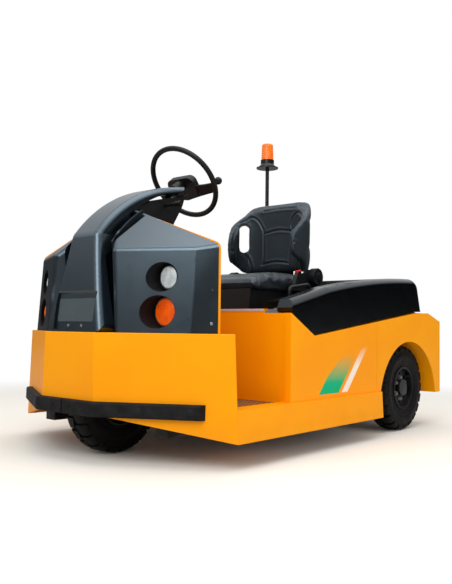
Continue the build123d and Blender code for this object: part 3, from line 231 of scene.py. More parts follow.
def paintedSteel(name, stripes=False):
    finish = Finish(name, **{"Coat Weight": 0.05, "Coat Roughness": 0.15, "Specular IOR Level": 0.12})
    x, y, z = finish.axes()
    cloud = finish.soft(finish.noise(2.6, 4.0), 0.35, 0.7)
    colour = finish.blend(cloud, paintLook["colour"], paintLook["deep"])
    low = finish.soft(z, *paintLook["dustFrom"])
    dust = finish.soft(finish.noise(14.0, 5.0) * 0.5 + low * 0.6, 0.55, 0.95)
    colour = finish.blend(dust * paintLook["dustShare"], colour, paintLook["dust"])
    if stripes:
        colour = sideStripes(finish, colour, x, z)
    finish.feed("Base Color", colour)
    finish.feed("Roughness", paintLook["roughness"] + finish.noise(30.0, 4.0) * 0.14 + dust * 0.2)
    peel = finish.bump(finish.noise(paintLook["peel"], 1.0), 0.0004, 0.35)
    finish.feed("Normal", finish.bump(finish.noise(5.0, 2.0), 0.004, 0.12, peel))
    return finish.material


coverLook = {"dark": tint(5, 6, 8), "light": tint(9, 11, 14), "sheen": tint(208, 236, 255), "roughness": 0.25}


def mouldedCover():
    # glossy dark moulding of the nose, with a slate sheen
    finish = Finish("coverMoulding", **{"Specular IOR Level": 1.0, "IOR": 1.7,
                                        "Specular Tint": coverLook["sheen"]})
    cloud = finish.soft(finish.noise(3.2, 3.0), 0.3, 0.75)
    finish.feed("Base Color", finish.blend(cloud, coverLook["dark"], coverLook["light"]))
    finish.feed("Roughness", coverLook["roughness"] + finish.noise(24.0, 4.0) * 0.08)
    grain = finish.bump(finish.cells(520.0), 0.0004, 0.16)
    finish.feed("Normal", finish.bump(finish.noise(7.0, 2.0), 0.003, 0.15, grain))
    return finish.material


hoodLook = {"dark": tint(2, 2, 3), "light": tint(5, 6, 7), "sheen": tint(220, 242, 255), "roughness": 0.17}


def blackLacquer():
    # the hood's black
    finish = Finish("hoodLacquer", **{"Specular IOR Level": 0.62, "Specular Tint": hoodLook["sheen"]})
    cloud = finish.noise(4.0, 3.0)
    finish.feed("Base Color", finish.blend(cloud, hoodLook["dark"], hoodLook["light"]))
    finish.feed("Roughness", hoodLook["roughness"] + finish.noise(20.0, 4.0) * 0.08)
    grain = finish.bump(finish.noise(600.0, 1.0), 0.0003, 0.2)
    finish.feed("Normal", finish.bump(finish.noise(4.0, 2.0), 0.004, 0.15, grain))
    return finish.material


def grainedPlastic(name, light, dark, roughness=0.42):
    finish = Finish(name, **{"Specular IOR Level": 0.34})
    cloud = finish.noise(9.0, 4.0)
    finish.feed("Base Color", finish.blend(cloud, dark, light))
    finish.feed("Roughness", roughness + finish.noise(40.0, 3.0) * 0.12)
    finish.feed("Normal", finish.bump(finish.cells(900.0, "SMOOTH_F1"), 0.0005, 0.3))
    return finish.material


enamelLook = {"colour": tint(8, 8, 9), "dust": tint(40, 37, 34), "dustFrom": (0.4, 0.05), "roughness": 0.36}


def stovedBlack():
    # black enamel of frame, fork and rims, dusty low down
    finish = Finish("stovedBlack", **{"Specular IOR Level": 0.45})
    low = finish.soft(finish.axes()[2], *enamelLook["dustFrom"])
    dust = finish.soft(finish.noise(18.0, 5.0) + low * 0.25, 0.55, 0.9)
    finish.feed("Base Color", finish.blend(dust * 0.5, enamelLook["colour"], enamelLook["dust"]))
    finish.feed("Roughness", enamelLook["roughness"] + dust * 0.3)
    finish.feed("Normal", finish.bump(finish.noise(260.0, 2.0), 0.0006, 0.3))
    return finish.material


def bareMetal(name, colour, roughness=0.34, worn=0.72):
    finish = Finish(name, **{"Metallic": 1.0})
    dull = tuple(worn * c for c in colour[:3]) + (1.0,)
    finish.feed("Base Color", finish.blend(finish.cells(60.0), colour, dull))
    finish.feed("Roughness", roughness + finish.noise(35.0, 4.0) * 0.18)
    finish.feed("Normal", finish.bump(finish.noise(420.0, 2.0), 0.0004, 0.3))
    return finish.material


stripLook = {
    # the near black of the holes is painted shade
    "dark": tint(9, 9, 11), "light": tint(27, 27, 30), "shadedHole": tint(2, 2, 2),
    "holeAt": (0.046, 0.200),       # Y on both sides, and Z
    "holeEdge": (0.0105, 0.0088),   # radii outside and inside its soft edge
}


def stripRubber():
    # rubber of the bumper strips, with two sunk bolt holes at the nose, painted near black as their shade
    finish = Finish("stripRubber", **{"Specular IOR Level": 0.25})
    x, y, z = finish.axes()
    aside, up = y.step("ABSOLUTE") - stripLook["holeAt"][0], z - stripLook["holeAt"][1]
    shadedHole = finish.soft((aside * aside + up * up).step("SQRT"), *stripLook["holeEdge"])
    cloud = finish.soft(finish.noise(22.0, 5.0, 0.6), 0.4, 0.75)
    colour = finish.blend(cloud, stripLook["dark"], stripLook["light"])
    finish.feed("Base Color", finish.blend(shadedHole, colour, stripLook["shadedHole"]))
    finish.feed("Roughness", 0.6 + finish.noise(60.0, 3.0) * 0.2)
    grain = finish.bump(finish.noise(330.0, 3.0), 0.0008, 0.5)
    finish.feed("Normal", finish.bump(1.0 - shadedHole, 0.004, 0.8, grain))
    return finish.material


def tyreRubber():
    # black rubber with patches of dust
    finish = Finish("tyreRubber", **{"Specular IOR Level": 0.2})
    dust = finish.soft(finish.noise(26.0, 5.0, 0.6), 0.45, 0.8)
    finish.feed("Base Color", finish.blend(dust * 0.3, tint(4, 4, 5), tint(38, 37, 36)))
    finish.feed("Roughness", 0.5 + dust * 0.25)
    finish.feed("Normal", finish.bump(finish.noise(380.0, 3.0), 0.0006, 0.5))
    return finish.material


matLook = {
    "pitch": 0.021, "row": 0.0185,  # of the slots along Y, and of their rows along X
    # the slot colour is painted shade in the slots
    "light": tint(158, 110, 56), "dark": tint(128, 90, 48), "slot": tint(48, 30, 16),
}


def floorRubber():
    # brown mat with staggered rows of slots, painted dark as the shade in them
    finish = Finish("floorRubber", **{"Specular IOR Level": 0.3})
    x, y, z = finish.axes()
    shifted = y + (x * (1 / matLook["row"])).step("FLOOR") * (matLook["pitch"] / 2)
    shadedSlots = finish.soft(finish.wave(x, matLook["row"]) * finish.wave(shifted, matLook["pitch"]), 0.42, 0.58)
    cloud = finish.noise(12.0, 4.0)
    rubber = finish.blend(cloud, matLook["light"], matLook["dark"])
    finish.feed("Base Color", finish.blend(shadedSlots, rubber, matLook["slot"]))
    finish.feed("Roughness", 0.62 + cloud * 0.2)
    finish.feed("Normal", finish.bump(1.0 - shadedSlots, 0.003, 0.8))
    return finish.material


vinylLook = {
    "dark": tint(12, 16, 20), "light": tint(20, 26, 31), "seam": tint(6, 7, 9),
    "sheen": tint(210, 238, 255), "roughness": 0.38,
}


def seatVinyl():
    # slate black seat cover with a leather grain and dark seams
    finish = Finish("seatVinyl", **{"Specular IOR Level": 0.75, "Sheen Weight": 0.06,
                                    "Specular Tint": vinylLook["sheen"]})
    cloud = finish.soft(finish.noise(5.0, 4.0), 0.3, 0.7)
    hide = finish.blend(cloud, vinylLook["dark"], vinylLook["light"])
    kept = finish.add("ShaderNodeAttribute", {"attribute_name": "seam"}, {}).outputs["Fac"]
    finish.feed("Base Color", finish.blend(finish.soft(kept, 0.25, 0.9), hide, vinylLook["seam"]))
    finish.feed("Roughness", vinylLook["roughness"] + finish.noise(50.0, 3.0) * 0.12)
    grain = finish.bump(finish.cells(330.0, "DISTANCE_TO_EDGE"), 0.0012, 0.35)
    finish.feed("Normal", finish.bump(finish.noise(70.0, 3.0), 0.001, 0.2, grain))
    return finish.material


def lensGlass(name, colour, deep, flutes, paintedGlow=0.0):
    # moulded lens, fluted up and across; its emission is a painted glow, with no lamp lit behind it
    finish = Finish(name, **{"Specular IOR Level": 0.5, "Coat Weight": 0.3, "Coat Roughness": 0.05,
                             "Emission Strength": paintedGlow})
    x, y, z = finish.axes()
    ribs, bars = finish.wave(y, flutes), finish.wave(z, flutes * 1.6)
    cloud = finish.soft(finish.noise(38.0, 2.0), 0.35, 0.7)
    mixed = finish.blend(ribs * 0.5 + cloud * 0.5, colour, deep)
    finish.feed("Base Color", mixed)
    finish.feed("Emission Color", mixed)
    finish.feed("Roughness", 0.12 + bars * 0.1)
    finish.feed("Normal", finish.bump(ribs + bars * 0.6, 0.0012, 0.6))
    return finish.material


yellowPaint = paintedSteel("yellowPaint")
stripedPaint = paintedSteel("stripedPaint", stripes=True)
coverMoulding = mouldedCover()
hoodLacquer = blackLacquer()
blackPlastic = grainedPlastic("blackPlastic", tint(15, 16, 18), tint(8, 9, 10))
# near-black sleeve in the lamp pockets: a dark sheet as painted shade
pocketShadeRubber = grainedPlastic("pocketShadeRubber", tint(3, 3, 4), tint(1, 1, 2), 0.6)
plateSlate = grainedPlastic("plateSlate", tint(72, 84, 88), tint(60, 70, 75), 0.36)
# the strip on the seat wall's top is pale grey as a painted highlight along that edge
paintedHighlightStrip = grainedPlastic("paintedHighlightStrip", tint(196, 186, 198), tint(172, 164, 178), 0.4)
greyCap = grainedPlastic("greyCap", tint(52, 56, 58), tint(38, 41, 43), 0.4)
redPlastic = grainedPlastic("redPlastic", tint(205, 34, 40), tint(178, 22, 30), 0.3)
blackEnamel = stovedBlack()
zincSteel = bareMetal("zincSteel", tint(176, 178, 180))
darkSteel = bareMetal("darkSteel", tint(96, 97, 100), 0.42)
rimSteel = bareMetal("rimSteel", tint(62, 64, 68), 0.38)
bumperRubber = stripRubber()
treadRubber = tyreRubber()
matRubber = floorRubber()
coverVinyl = seatVinyl()
clearLens = lensGlass("clearLens", tint(236, 240, 240), tint(170, 182, 184), 0.007)
# the emission of this lens is a painted glow
orangeLens = lensGlass("orangeLens", tint(255, 106, 0), tint(232, 66, 0), 0.0075, 0.1)
redLens = lensGlass("redLens", tint(190, 20, 18), tint(140, 8, 10), 0.006)
# the emission of the dome is a painted glow
domeAmber = lensGlass("domeAmber", tint(255, 132, 4), tint(250, 98, 0), 0.0085, 0.12)
print("finishes made")

slotFinish = {
    "yellow_paint": yellowPaint, "black_cover": coverMoulding, "black_plastic": blackPlastic,
    "black_paint": blackEnamel, "bumper_rubber": bumperRubber, "mat_rubber": matRubber,
    "tyre_rubber": treadRubber, "seat_vinyl": coverVinyl, "clear_lens": clearLens,
    "amber_lens": orangeLens, "red_lens": redLens, "bare_steel": zincSteel,
}
# CAD nodes whose finish isn't their slot's
nodeFinish = {
    "side_panel_left": stripedPaint, "side_panel_right": stripedPaint, "hood": hoodLacquer,
    "beacon_dome": domeAmber, "name_plate": plateSlate, "drive_axle": darkSteel,
}
for part in frame["record"]["subparts"]:
    name = part["node"]
    finish = nodeFinish.get(name) or slotFinish[part["material_slot"]]
    nodes[name].data.materials.clear()
    nodes[name].data.materials.append(finish)
print("CAD nodes finished")


def showPiece(name, bm, finish, body, replaced=(), sharp=32):
    # closes a bmesh, makes it an object at the origin and says what it rides on
    bmesh.ops.remove_doubles(bm, verts=bm.verts, dist=0.00002)
    bmesh.ops.recalc_face_normals(bm, faces=bm.faces)
    mesh = bpy.data.meshes.new(name)
    bm.to_mesh(mesh)
    bm.free()
    for face in mesh.polygons:
        face.use_smooth = True
    mesh.set_sharp_from_angle(angle=math.radians(sharp))
    mesh.materials.append(finish)
    piece = bpy.data.objects.new(name, mesh)
    scene.collection.objects.link(piece)
    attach(piece, body)
    if replaced:
        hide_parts(*replaced)


def turned(bm, points, centre, steps, axle=(0, 1, 0)):
    # outline of (distance along the axle, radius), spun round the axle
    x, y, z = centre
    verts = [bm.verts.new((x + axle[0] * along, y + axle[1] * along, z + radius)) for along, radius in points]
    edges = [bm.edges.new((verts[i], verts[i - 1])) for i in range(len(verts))]
    bmesh.ops.spin(bm, geom=verts + edges, cent=centre, axis=axle, angle=2 * math.pi, steps=steps,
                   use_merge=True)


def block(bm, centre, size, bevel, segments=2, turn=None):
    # box with rounded edges
    made = bmesh.ops.create_cube(bm, size=1.0)["verts"]
    bmesh.ops.scale(bm, verts=made, vec=size)
    edges = list({edge for vert in made for edge in vert.link_edges})
    rounded = bmesh.ops.bevel(bm, geom=edges, offset=bevel, segments=segments, affect="EDGES",
                              profile=0.5, material=-1)
    made = {vert for face in rounded["faces"] for vert in face.verts}
    made = list({vert for start in made for edge in start.link_edges for vert in edge.verts})
    if turn is not None:
        bmesh.ops.rotate(bm, verts=made, cent=(0, 0, 0), matrix=turn)
    bmesh.ops.translate(bm, verts=made, vec=centre)


def knob(bm, place, facing, radius, height, sides=24, bevel=0.25):
    # bolt, nut or screw head that stands on a surface
    made = bmesh.ops.create_cone(bm, cap_ends=True, segments=sides, radius1=radius, radius2=radius,
                                 depth=height)["verts"]
    rim = [edge for edge in {e for v in made for e in v.link_edges} if all(v.co.z > 0 for v in edge.verts)]
    rounded = bmesh.ops.bevel(bm, geom=rim, offset=bevel * height, segments=2, affect="EDGES",
                              profile=0.5, material=-1)
    made = list({v for v in made if v.is_valid} | {v for f in rounded["faces"] for v in f.verts})
    facing = Vector(facing).normalized()
    turn = facing.to_track_quat("Z", "Y").to_matrix().to_4x4()
    foot = Matrix.Translation(Vector(place) + facing * height / 2)
    bmesh.ops.transform(bm, verts=made, matrix=foot @ turn)


def joined(verts):
    # every vertex that hangs together with these
    found, waiting = set(verts), list(verts)
    while waiting:
        for edge in waiting.pop().link_edges:
            for end in edge.verts:
                if end not in found:
                    found.add(end)
                    waiting.append(end)
    return found


# tyres: a carcass with rings on its walls, and two rows of staggered blocks
tyreLook = {
    "bead": 0.1018, "steps": 96,
    # wall from the bead to the shoulder: half width, and height over the bead
    "wall": [(0.042, 0.0), (0.0448, 0.002), (0.0462, 0.007), (0.0452, 0.0105), (0.0468, 0.013),
             (0.0482, 0.017), (0.0472, 0.0195), (0.0492, 0.023), (0.0508, 0.030), (0.0498, 0.0325),
             (0.0516, 0.036), (0.0526, 0.048), (0.0528, 0.056), (0.053, 0.060), (0.0518, 0.063),
             (0.0512, 0.072), (0.0492, 0.082), (0.0435, 0.089), (0.034, 0.0945)],
    "crown": [(0.020, 0.1977), (0.006, 0.1985)],    # half width and radius between the blocks
    "block": [(0.0045, 0.2072), (0.034, 0.2062), (0.0475, 0.1995), (0.0518, 0.187), (0.0495, 0.182),
              (0.044, 0.186), (0.030, 0.196), (0.0045, 0.197)],
    "blocks": 22, "blockAngle": 12.6, "blockBevel": 0.0014,
    "middle": 0.0055, "zigzag": 0.045,              # how far the inner ends lean
}
axles = {"front": (0.792, 0.0, 0.2075), "left": (-0.588, 0.518, 0.2075), "right": (-0.588, -0.518, 0.2075)}


def carcass(bm, centre):
    side = [(half, tyreLook["bead"] + rise) for half, rise in tyreLook["wall"]] + tyreLook["crown"]
    turned(bm, side + [(-half, radius) for half, radius in reversed(side)], centre, tyreLook["steps"])


def treadBlocks(bm, centre):
    x, y, z = centre
    pitch, angle = 2 * math.pi / tyreLook["blocks"], math.radians(tyreLook["blockAngle"])
    for hand, start in ((1, 0.0), (-1, 0.5)):
        outline = [bm.verts.new((x, y + hand * along, z + radius)) for along, radius in tyreLook["block"]]
        bmesh.ops.spin(bm, geom=[bm.faces.new(outline)], cent=centre, axis=(0, 1, 0), steps=3, angle=angle)
        made = joined(outline)
        # skewed, so that the middle groove runs in a zigzag
        for vert in made:
            if abs(vert.co.y - y) < tyreLook["middle"]:
                lean = math.atan2(vert.co.x - x, vert.co.z - z) - angle / 2
                vert.co.y += hand * lean * tyreLook["zigzag"]
        bmesh.ops.recalc_face_normals(bm, faces=list({f for v in made for f in v.link_faces}))
        edges = list({e for v in made for e in v.link_edges if e.is_manifold and e.calc_face_angle(0) > 0.5})
        rounded = bmesh.ops.bevel(bm, geom=edges, offset=tyreLook["blockBevel"], segments=1, affect="EDGES",
                                  profile=0.5, material=-1)
        made = {v for v in made if v.is_valid} | {v for f in rounded["faces"] for v in f.verts}
        faces = list({f for v in made for f in v.link_faces})
        bmesh.ops.rotate(bm, verts=list(made), cent=centre, matrix=Matrix.Rotation(start * pitch, 3, "Y"))
        bmesh.ops.spin(bm, geom=faces, cent=centre, axis=(0, 1, 0), use_duplicate=True,
                       steps=tyreLook["blocks"] - 1, angle=pitch * (tyreLook["blocks"] - 1))


def makeTyre(name, centre, body):
    bm = bmesh.new()
    carcass(bm, centre)
    treadBlocks(bm, centre)
    showPiece(name + "Tread", bm, treadRubber, body, (name,), 40)


makeTyre("front_tyre", axles["front"], "front_wheel")
makeTyre("rear_tyre_left", axles["left"], "rear_wheel_left")
makeTyre("rear_tyre_right", axles["right"], "rear_wheel_right")
print("tyres made")

# rear rims: flange, cap, nuts and valve
rimLook = {
    "out": 0.053, "flange": 0.1015,
    # edge of the flange: from the tyre's side inwards, and from the flange's radius
    "flangeEdge": [(-0.0082, -0.0068), (-0.0052, -0.0064), (-0.0034, -0.0035), (-0.0028, 0.0002),
                   (-0.0040, 0.0022), (-0.0056, 0.0008), (-0.0062, -0.0022), (-0.0082, -0.0034)],
    "capFoot": 0.0423,
    "cap": [(0.0, 0.0385), (0.004, 0.0385), (0.0062, 0.0365), (0.0075, 0.0325), (0.0081, 0.0245),
            (0.0098, 0.0225), (0.0104, 0.0155), (0.0106, 0.0006), (0.0, 0.0006)],
    "nuts": 6, "nutCircle": 0.0515, "nutFoot": 0.026,
    # washer, nut and stud: radius, height, sides, bevel
    "nut": [(0.011875, 0.002, 24, 0.25), (0.0095, 0.010, 6, 0.15), (0.00475, 0.0145, 16, 0.25)],
    "valve": (-0.070, 0.052), "valveFacing": (-0.3, 0.2),
    "valveParts": [(0.0045, 0.012), (0.0032, 0.022)],
}


def rimTrim(name, centre, side, body):
    x, y, z = centre
    foot = y + rimLook["nutFoot"] * side
    bm = bmesh.new()
    turned(bm, [((rimLook["out"] + along) * side, rimLook["flange"] + rise)
                for along, rise in rimLook["flangeEdge"]], centre, 72)
    showPiece(name + "Flange", bm, rimSteel, body)
    bm = bmesh.new()
    turned(bm, [((rimLook["capFoot"] + rise) * side, radius) for rise, radius in rimLook["cap"]], centre, 48)
    showPiece(name + "Cap", bm, greyCap, body)
    bm = bmesh.new()
    for count in range(rimLook["nuts"]):
        angle = 2 * math.pi * (count + 0.5) / rimLook["nuts"]
        place = (x + rimLook["nutCircle"] * math.cos(angle), foot, z + rimLook["nutCircle"] * math.sin(angle))
        for radius, height, sides, bevel in rimLook["nut"]:
            knob(bm, place, (0, side, 0), radius, height, sides, bevel)
    showPiece(name + "Nuts", bm, zincSteel, body)
    bm = bmesh.new()
    (ahead, up), (leanAhead, leanUp) = rimLook["valve"], rimLook["valveFacing"]
    for radius, height in rimLook["valveParts"]:
        knob(bm, (x + ahead, foot, z + up), (leanAhead, side, leanUp), radius, height, 16)
    showPiece(name + "Valve", bm, blackPlastic, body)


rimTrim("rimLeft", axles["left"], 1, "rear_wheel_left")
rimTrim("rimRight", axles["right"], -1, "rear_wheel_right")
print("rims trimmed")

# seat: back and cushion swell under their covers, then get seams
coverCloth = {
    "voxel": 0.006, "pressure": 4.0, "frames": 20, "quality": 4, "evened": 6,
    "seamWidth": 0.0042, "seamDepth": 0.0034,
    "rollPlace": 2.6, "rollWidth": 1.3, "rollHeight": 0.0016,   # the soft roll beside a seam, in seam widths
}
backLook = {
    "shrink": 0.004, "cap": 0.009, "fill": 0.85,
    "low": (-0.3345, -0.2390, 0.7725), "high": (-0.1365, 0.2390, 1.1505),
    "front": -0.15,         # seams lie only before this X
    # seams in Y and Z
    "seams": [
        [(-0.078, 1.104), (0.025, 1.109), (0.128, 1.103)],
        [(-0.070, 0.985), (0.018, 0.997), (0.106, 0.985)],
        [(-0.084, 0.824), (0.0, 0.834), (0.084, 0.824)],
        [(-0.196, 1.046), (-0.150, 1.076), (-0.112, 1.058), (-0.086, 1.020), (-0.074, 0.985),
         (-0.074, 0.860), (-0.082, 0.824)],
        [(0.196, 1.046), (0.150, 1.076), (0.116, 1.058), (0.102, 1.020), (0.104, 0.985),
         (0.086, 0.860), (0.084, 0.824)],
        [(-0.205, 0.912), (-0.170, 0.872), (-0.150, 0.826), (-0.143, 0.778)],
        [(0.205, 0.912), (0.170, 0.872), (0.150, 0.826), (0.143, 0.778)],
    ],
}
cushionLook = {
    "shrink": 0.005, "cap": 0.014, "fill": 0.8,
    "low": (-0.2005, -0.2398, 0.6722), "high": (0.2080, 0.2398, 0.7540),
    # seams in X and Y
    "seams": [
        [(0.150, -0.236), (0.128, -0.160), (0.122, 0.0), (0.128, 0.160), (0.150, 0.236)],
        [(0.122, -0.150), (0.0, -0.156), (-0.196, -0.150)],
        [(0.122, 0.150), (0.0, 0.156), (-0.196, 0.150)],
        [(0.015, -0.155), (0.008, 0.0), (0.015, 0.155)],
    ],
}


def bake(piece):
    # applies the modifiers of a piece
    ready = piece.evaluated_get(bpy.context.evaluated_depsgraph_get())
    mesh = bpy.data.meshes.new_from_object(ready)
    piece.modifiers.clear()
    piece.data = mesh


def read(mesh, what):
    # "co" or "normal" of every vertex
    values = np.empty(len(mesh.vertices) * 3)
    mesh.vertices.foreach_get(what, values)
    return values.reshape(-1, 3)


def store(mesh, where):
    mesh.vertices.foreach_set("co", np.ascontiguousarray(where, dtype=np.float32).ravel())
    mesh.update()


def evenOut(mesh, repeats):
    # takes the voxel steps out of a surface
    bm = bmesh.new()
    bm.from_mesh(mesh)
    for count in range(repeats):
        bmesh.ops.smooth_vert(bm, verts=bm.verts, factor=0.5, use_axis_x=True, use_axis_y=True,
                              use_axis_z=True)
    bm.to_mesh(mesh)
    bm.free()


def swell(piece, cap):
    # blows the piece up as cloth, no point further than the cap
    rest = read(piece.data, "co")
    cloth = piece.modifiers.new("cloth", "CLOTH")
    cloth.settings.quality = coverCloth["quality"]
    cloth.settings.use_pressure = True
    cloth.settings.uniform_pressure_force = coverCloth["pressure"]
    cloth.settings.effector_weights.gravity = 0
    cloth.point_cache.frame_end = coverCloth["frames"]
    for count in range(1, coverCloth["frames"] + 1):
        scene.frame_set(count)
    bake(piece)
    scene.frame_set(1)
    moved = read(piece.data, "co") - rest
    far = np.linalg.norm(moved, axis=1, keepdims=True)
    store(piece.data, rest + moved * np.minimum(1.0, cap / np.maximum(far, 1e-9)))


def cover(name, node, look):
    # the CAD solid, drawn in a little, remeshed, swollen and kept within its box
    bm = bmesh.new()
    bm.from_mesh(nodes[node].data)
    bmesh.ops.remove_doubles(bm, verts=bm.verts, dist=0.00002)
    mesh = bpy.data.meshes.new(name)
    bm.to_mesh(mesh)
    bm.free()
    piece = bpy.data.objects.new(name, mesh)
    scene.collection.objects.link(piece)
    remesh = piece.modifiers.new("remesh", "REMESH")
    remesh.mode, remesh.voxel_size = "VOXEL", coverCloth["voxel"]
    bake(piece)
    store(piece.data, read(piece.data, "co") - read(piece.data, "normal") * look["shrink"])
    swell(piece, look["cap"])
    evenOut(piece.data, coverCloth["evened"])
    divide = piece.modifiers.new("divide", "SUBSURF")
    divide.levels = divide.render_levels = 1
    bake(piece)
    store(piece.data, np.clip(read(piece.data, "co"), look["low"], look["high"]))
    for face in piece.data.polygons:
        face.use_smooth = True
    piece.data.materials.clear()
    piece.data.materials.append(coverVinyl)
    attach(piece, "hood")
    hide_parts(node)
    return piece


def curved(points, steps=14):
    # smooth line through a few places
    line = []
    reach = [points[0]] + list(points) + [points[-1]]
    for i in range(len(points) - 1):
        p0, p1, p2, p3 = (np.array(reach[i + k], float) for k in range(4))
        for step in range(steps):
            t = step / steps
            line.append(tuple(0.5 * (2 * p1 + (p2 - p0) * t + (2 * p0 - 5 * p1 + 4 * p2 - p3) * t * t
                                     + (3 * p1 - p0 - 3 * p2 + p3) * t ** 3)))
    return line + [tuple(points[-1])]


def lineDistance(a, b, line):
    # distance of points (a, b) to a line through corners
    best = np.full(a.shape, 9.0)
    for (a0, b0), (a1, b1) in zip(line, line[1:]):
        run, rise = a1 - a0, b1 - b0
        share = np.clip(((a - a0) * run + (b - b0) * rise) / (run * run + rise * rise), 0, 1)
        best = np.minimum(best, np.hypot(a - a0 - share * run, b - b0 - share * rise))
    return best


def sewSeams(piece, seams, axes, mask):
    # sinks seams drawn in two axes, with a soft roll on each side, and keeps them as an attribute
    where, facing = read(piece.data, "co"), read(piece.data, "normal")
    lines = [lineDistance(where[:, axes[0]], where[:, axes[1]], curved(points)) for points in seams]
    near = np.minimum.reduce(lines) / coverCloth["seamWidth"]
    allowed = mask(where, facing)
    cut = np.exp(-near ** 2) * allowed
    roll = np.exp(-((near - coverCloth["rollPlace"]) / coverCloth["rollWidth"]) ** 2) * allowed
    moved = roll * coverCloth["rollHeight"] - cut * coverCloth["seamDepth"]
    store(piece.data, where + facing * moved[:, None])
    seam = piece.data.attributes.new("seam", "FLOAT", "POINT")
    seam.data.foreach_set("value", cut.astype(np.float32))


seatBack = cover("seatBackCover", "seat_back", backLook)
sewSeams(seatBack, backLook["seams"], (1, 2),
         lambda where, facing: np.clip(facing[:, 0] * 4 - 0.4, 0, 1) * (where[:, 0] < backLook["front"]))
cushion = cover("seatCushionCover", "seat_cushion", cushionLook)
sewSeams(cushion, cushionLook["seams"], (0, 1),
         lambda where, facing: np.clip(facing[:, 2] * 4 - 0.6, 0, 1))
print("seat covered,", len(seatBack.data.vertices), "and", len(cushion.data.vertices), "points")

# slabs across the machine: X and Z from and to, half their length, edge radius
slabLook = {
    # its pale grey paints the highlight along the wall's top edge
    "wallTopHighlightStrip": {"x": (0.4153, 0.4175), "z": (0.5605, 0.5715), "half": 0.455, "edge": 0.0007},
    # on the deck, under the hood's rear edge
    "hoodSeal": {"x": (-0.716, -0.664), "z": (0.5792, 0.5834), "half": 0.566, "edge": 0.001},
}


def slab(name, finish):
    look = slabLook[name]
    (back, front), (low, high) = look["x"], look["z"]
    bm = bmesh.new()
    block(bm, ((back + front) / 2, 0, (low + high) / 2), (front - back, 2 * look["half"], high - low),
          look["edge"])
    showPiece(name, bm, finish, "root")


slab("wallTopHighlightStrip", paintedHighlightStrip)
slab("hoodSeal", bumperRubber)

# heads of screws and bolts: place and facing on the left side, mirrored to the right
boltLook = {
    "coverScrews": {"at": [((0.7805, 0.4982, 0.628), (0.787, 0.616, 0.0)),
                           ((0.7814, 0.5015, 0.5084), (0.72, 0.69, 0.02)),
                           ((0.9909, 0.0391, 0.4963), (0.992, 0.0, 0.128))],
                    "radius": 0.0055, "height": 0.0022, "sides": 24},
    "stripBolts": {"at": [((0.8645, 0.4825, 0.2005), (0.872, 0.49, 0.02)),
                          ((0.9560, 0.3180, 0.2005), (0.872, 0.49, 0.02))],
                   "radius": 0.0105, "height": 0.0012, "sides": 24, "stud": (0.55, 0.5)},
    "hitchBolts": {"at": [((-0.960, 0.062, 0.430), (-1, 0, 0)), ((-0.960, 0.062, 0.246), (-1, 0, 0))],
                   "radius": 0.012, "height": 0.008, "sides": 6, "stud": (0.55, 0.5)},
}
# round the foot of the beacon's pole
poleBolts = {"centre": (-0.810, -0.450, 0.587), "circle": 0.021, "angles": (0.8, 2.37, 3.94, 5.51),
             "radius": 0.0042, "height": 0.003}


def boltSet(name, finish):
    look = boltLook[name]
    bm = bmesh.new()
    for (x, y, z), (ahead, aside, up) in look["at"]:
        for side in (1, -1):
            place, facing = Vector((x, y * side, z)), Vector((ahead, aside * side, up)).normalized()
            knob(bm, place, facing, look["radius"], look["height"], look["sides"])
            if "stud" in look:
                radius, height = look["stud"]
                knob(bm, place + facing * look["height"], facing, look["radius"] * radius,
                     look["height"] * height, 6)
    showPiece(name, bm, finish, "root")


def polePieces():
    x, y, z = poleBolts["centre"]
    bm = bmesh.new()
    for angle in poleBolts["angles"]:
        place = (x + poleBolts["circle"] * math.cos(angle), y + poleBolts["circle"] * math.sin(angle), z)
        knob(bm, place, (0, 0, 1), poleBolts["radius"], poleBolts["height"], 6)
    showPiece("poleFootBolts", bm, zincSteel, "root")


boltSet("coverScrews", zincSteel)
boltSet("stripBolts", blackPlastic)
boltSet("hitchBolts", zincSteel)
polePieces()

# lamps: middle of the lens on the left side, radii of lens and pocket
lampLook = {
    "headlamp": {"centre": (0.832, 0.346, 0.675), "lens": 0.041, "pocket": 0.054},
    "indicator": {"centre": (0.840, 0.339, 0.549), "lens": 0.050, "pocket": 0.060},
    "shadeLining": {"length": (0.0006, 0.098), "inset": (0.0003, 0.0012), "sunk": 0.0006},
}
# front face of the left wing, which cuts the linings off
wingFace = {"normal": (0.889, 0.457, 0.0738), "foot": (0.840, 0.454, 0.473)}


def lampTrim(name, centre, lens, pocket):
    # dark bezel and a thin bright ring round the lens
    bezel = [(0.0008, lens + 0.0045), (0.0008, pocket - 0.0010), (0.0045, pocket - 0.0010),
             (0.0070, lens + 0.0082), (0.0072, lens + 0.0048)]
    ring = [(0.0070, lens + 0.0004), (0.0070, lens + 0.0046), (0.0098, lens + 0.0040),
            (0.0118, lens + 0.0022), (0.0112, lens + 0.0004)]
    for part, points, finish, slot in (("Bezel", bezel, blackPlastic, "black_plastic"),
                                       ("Ring", ring, darkSteel, "bare_steel")):
        bm = bmesh.new()
        turned(bm, points, centre, 56, (1, 0, 0))
        showPiece(name + part, bm, finish, "root")


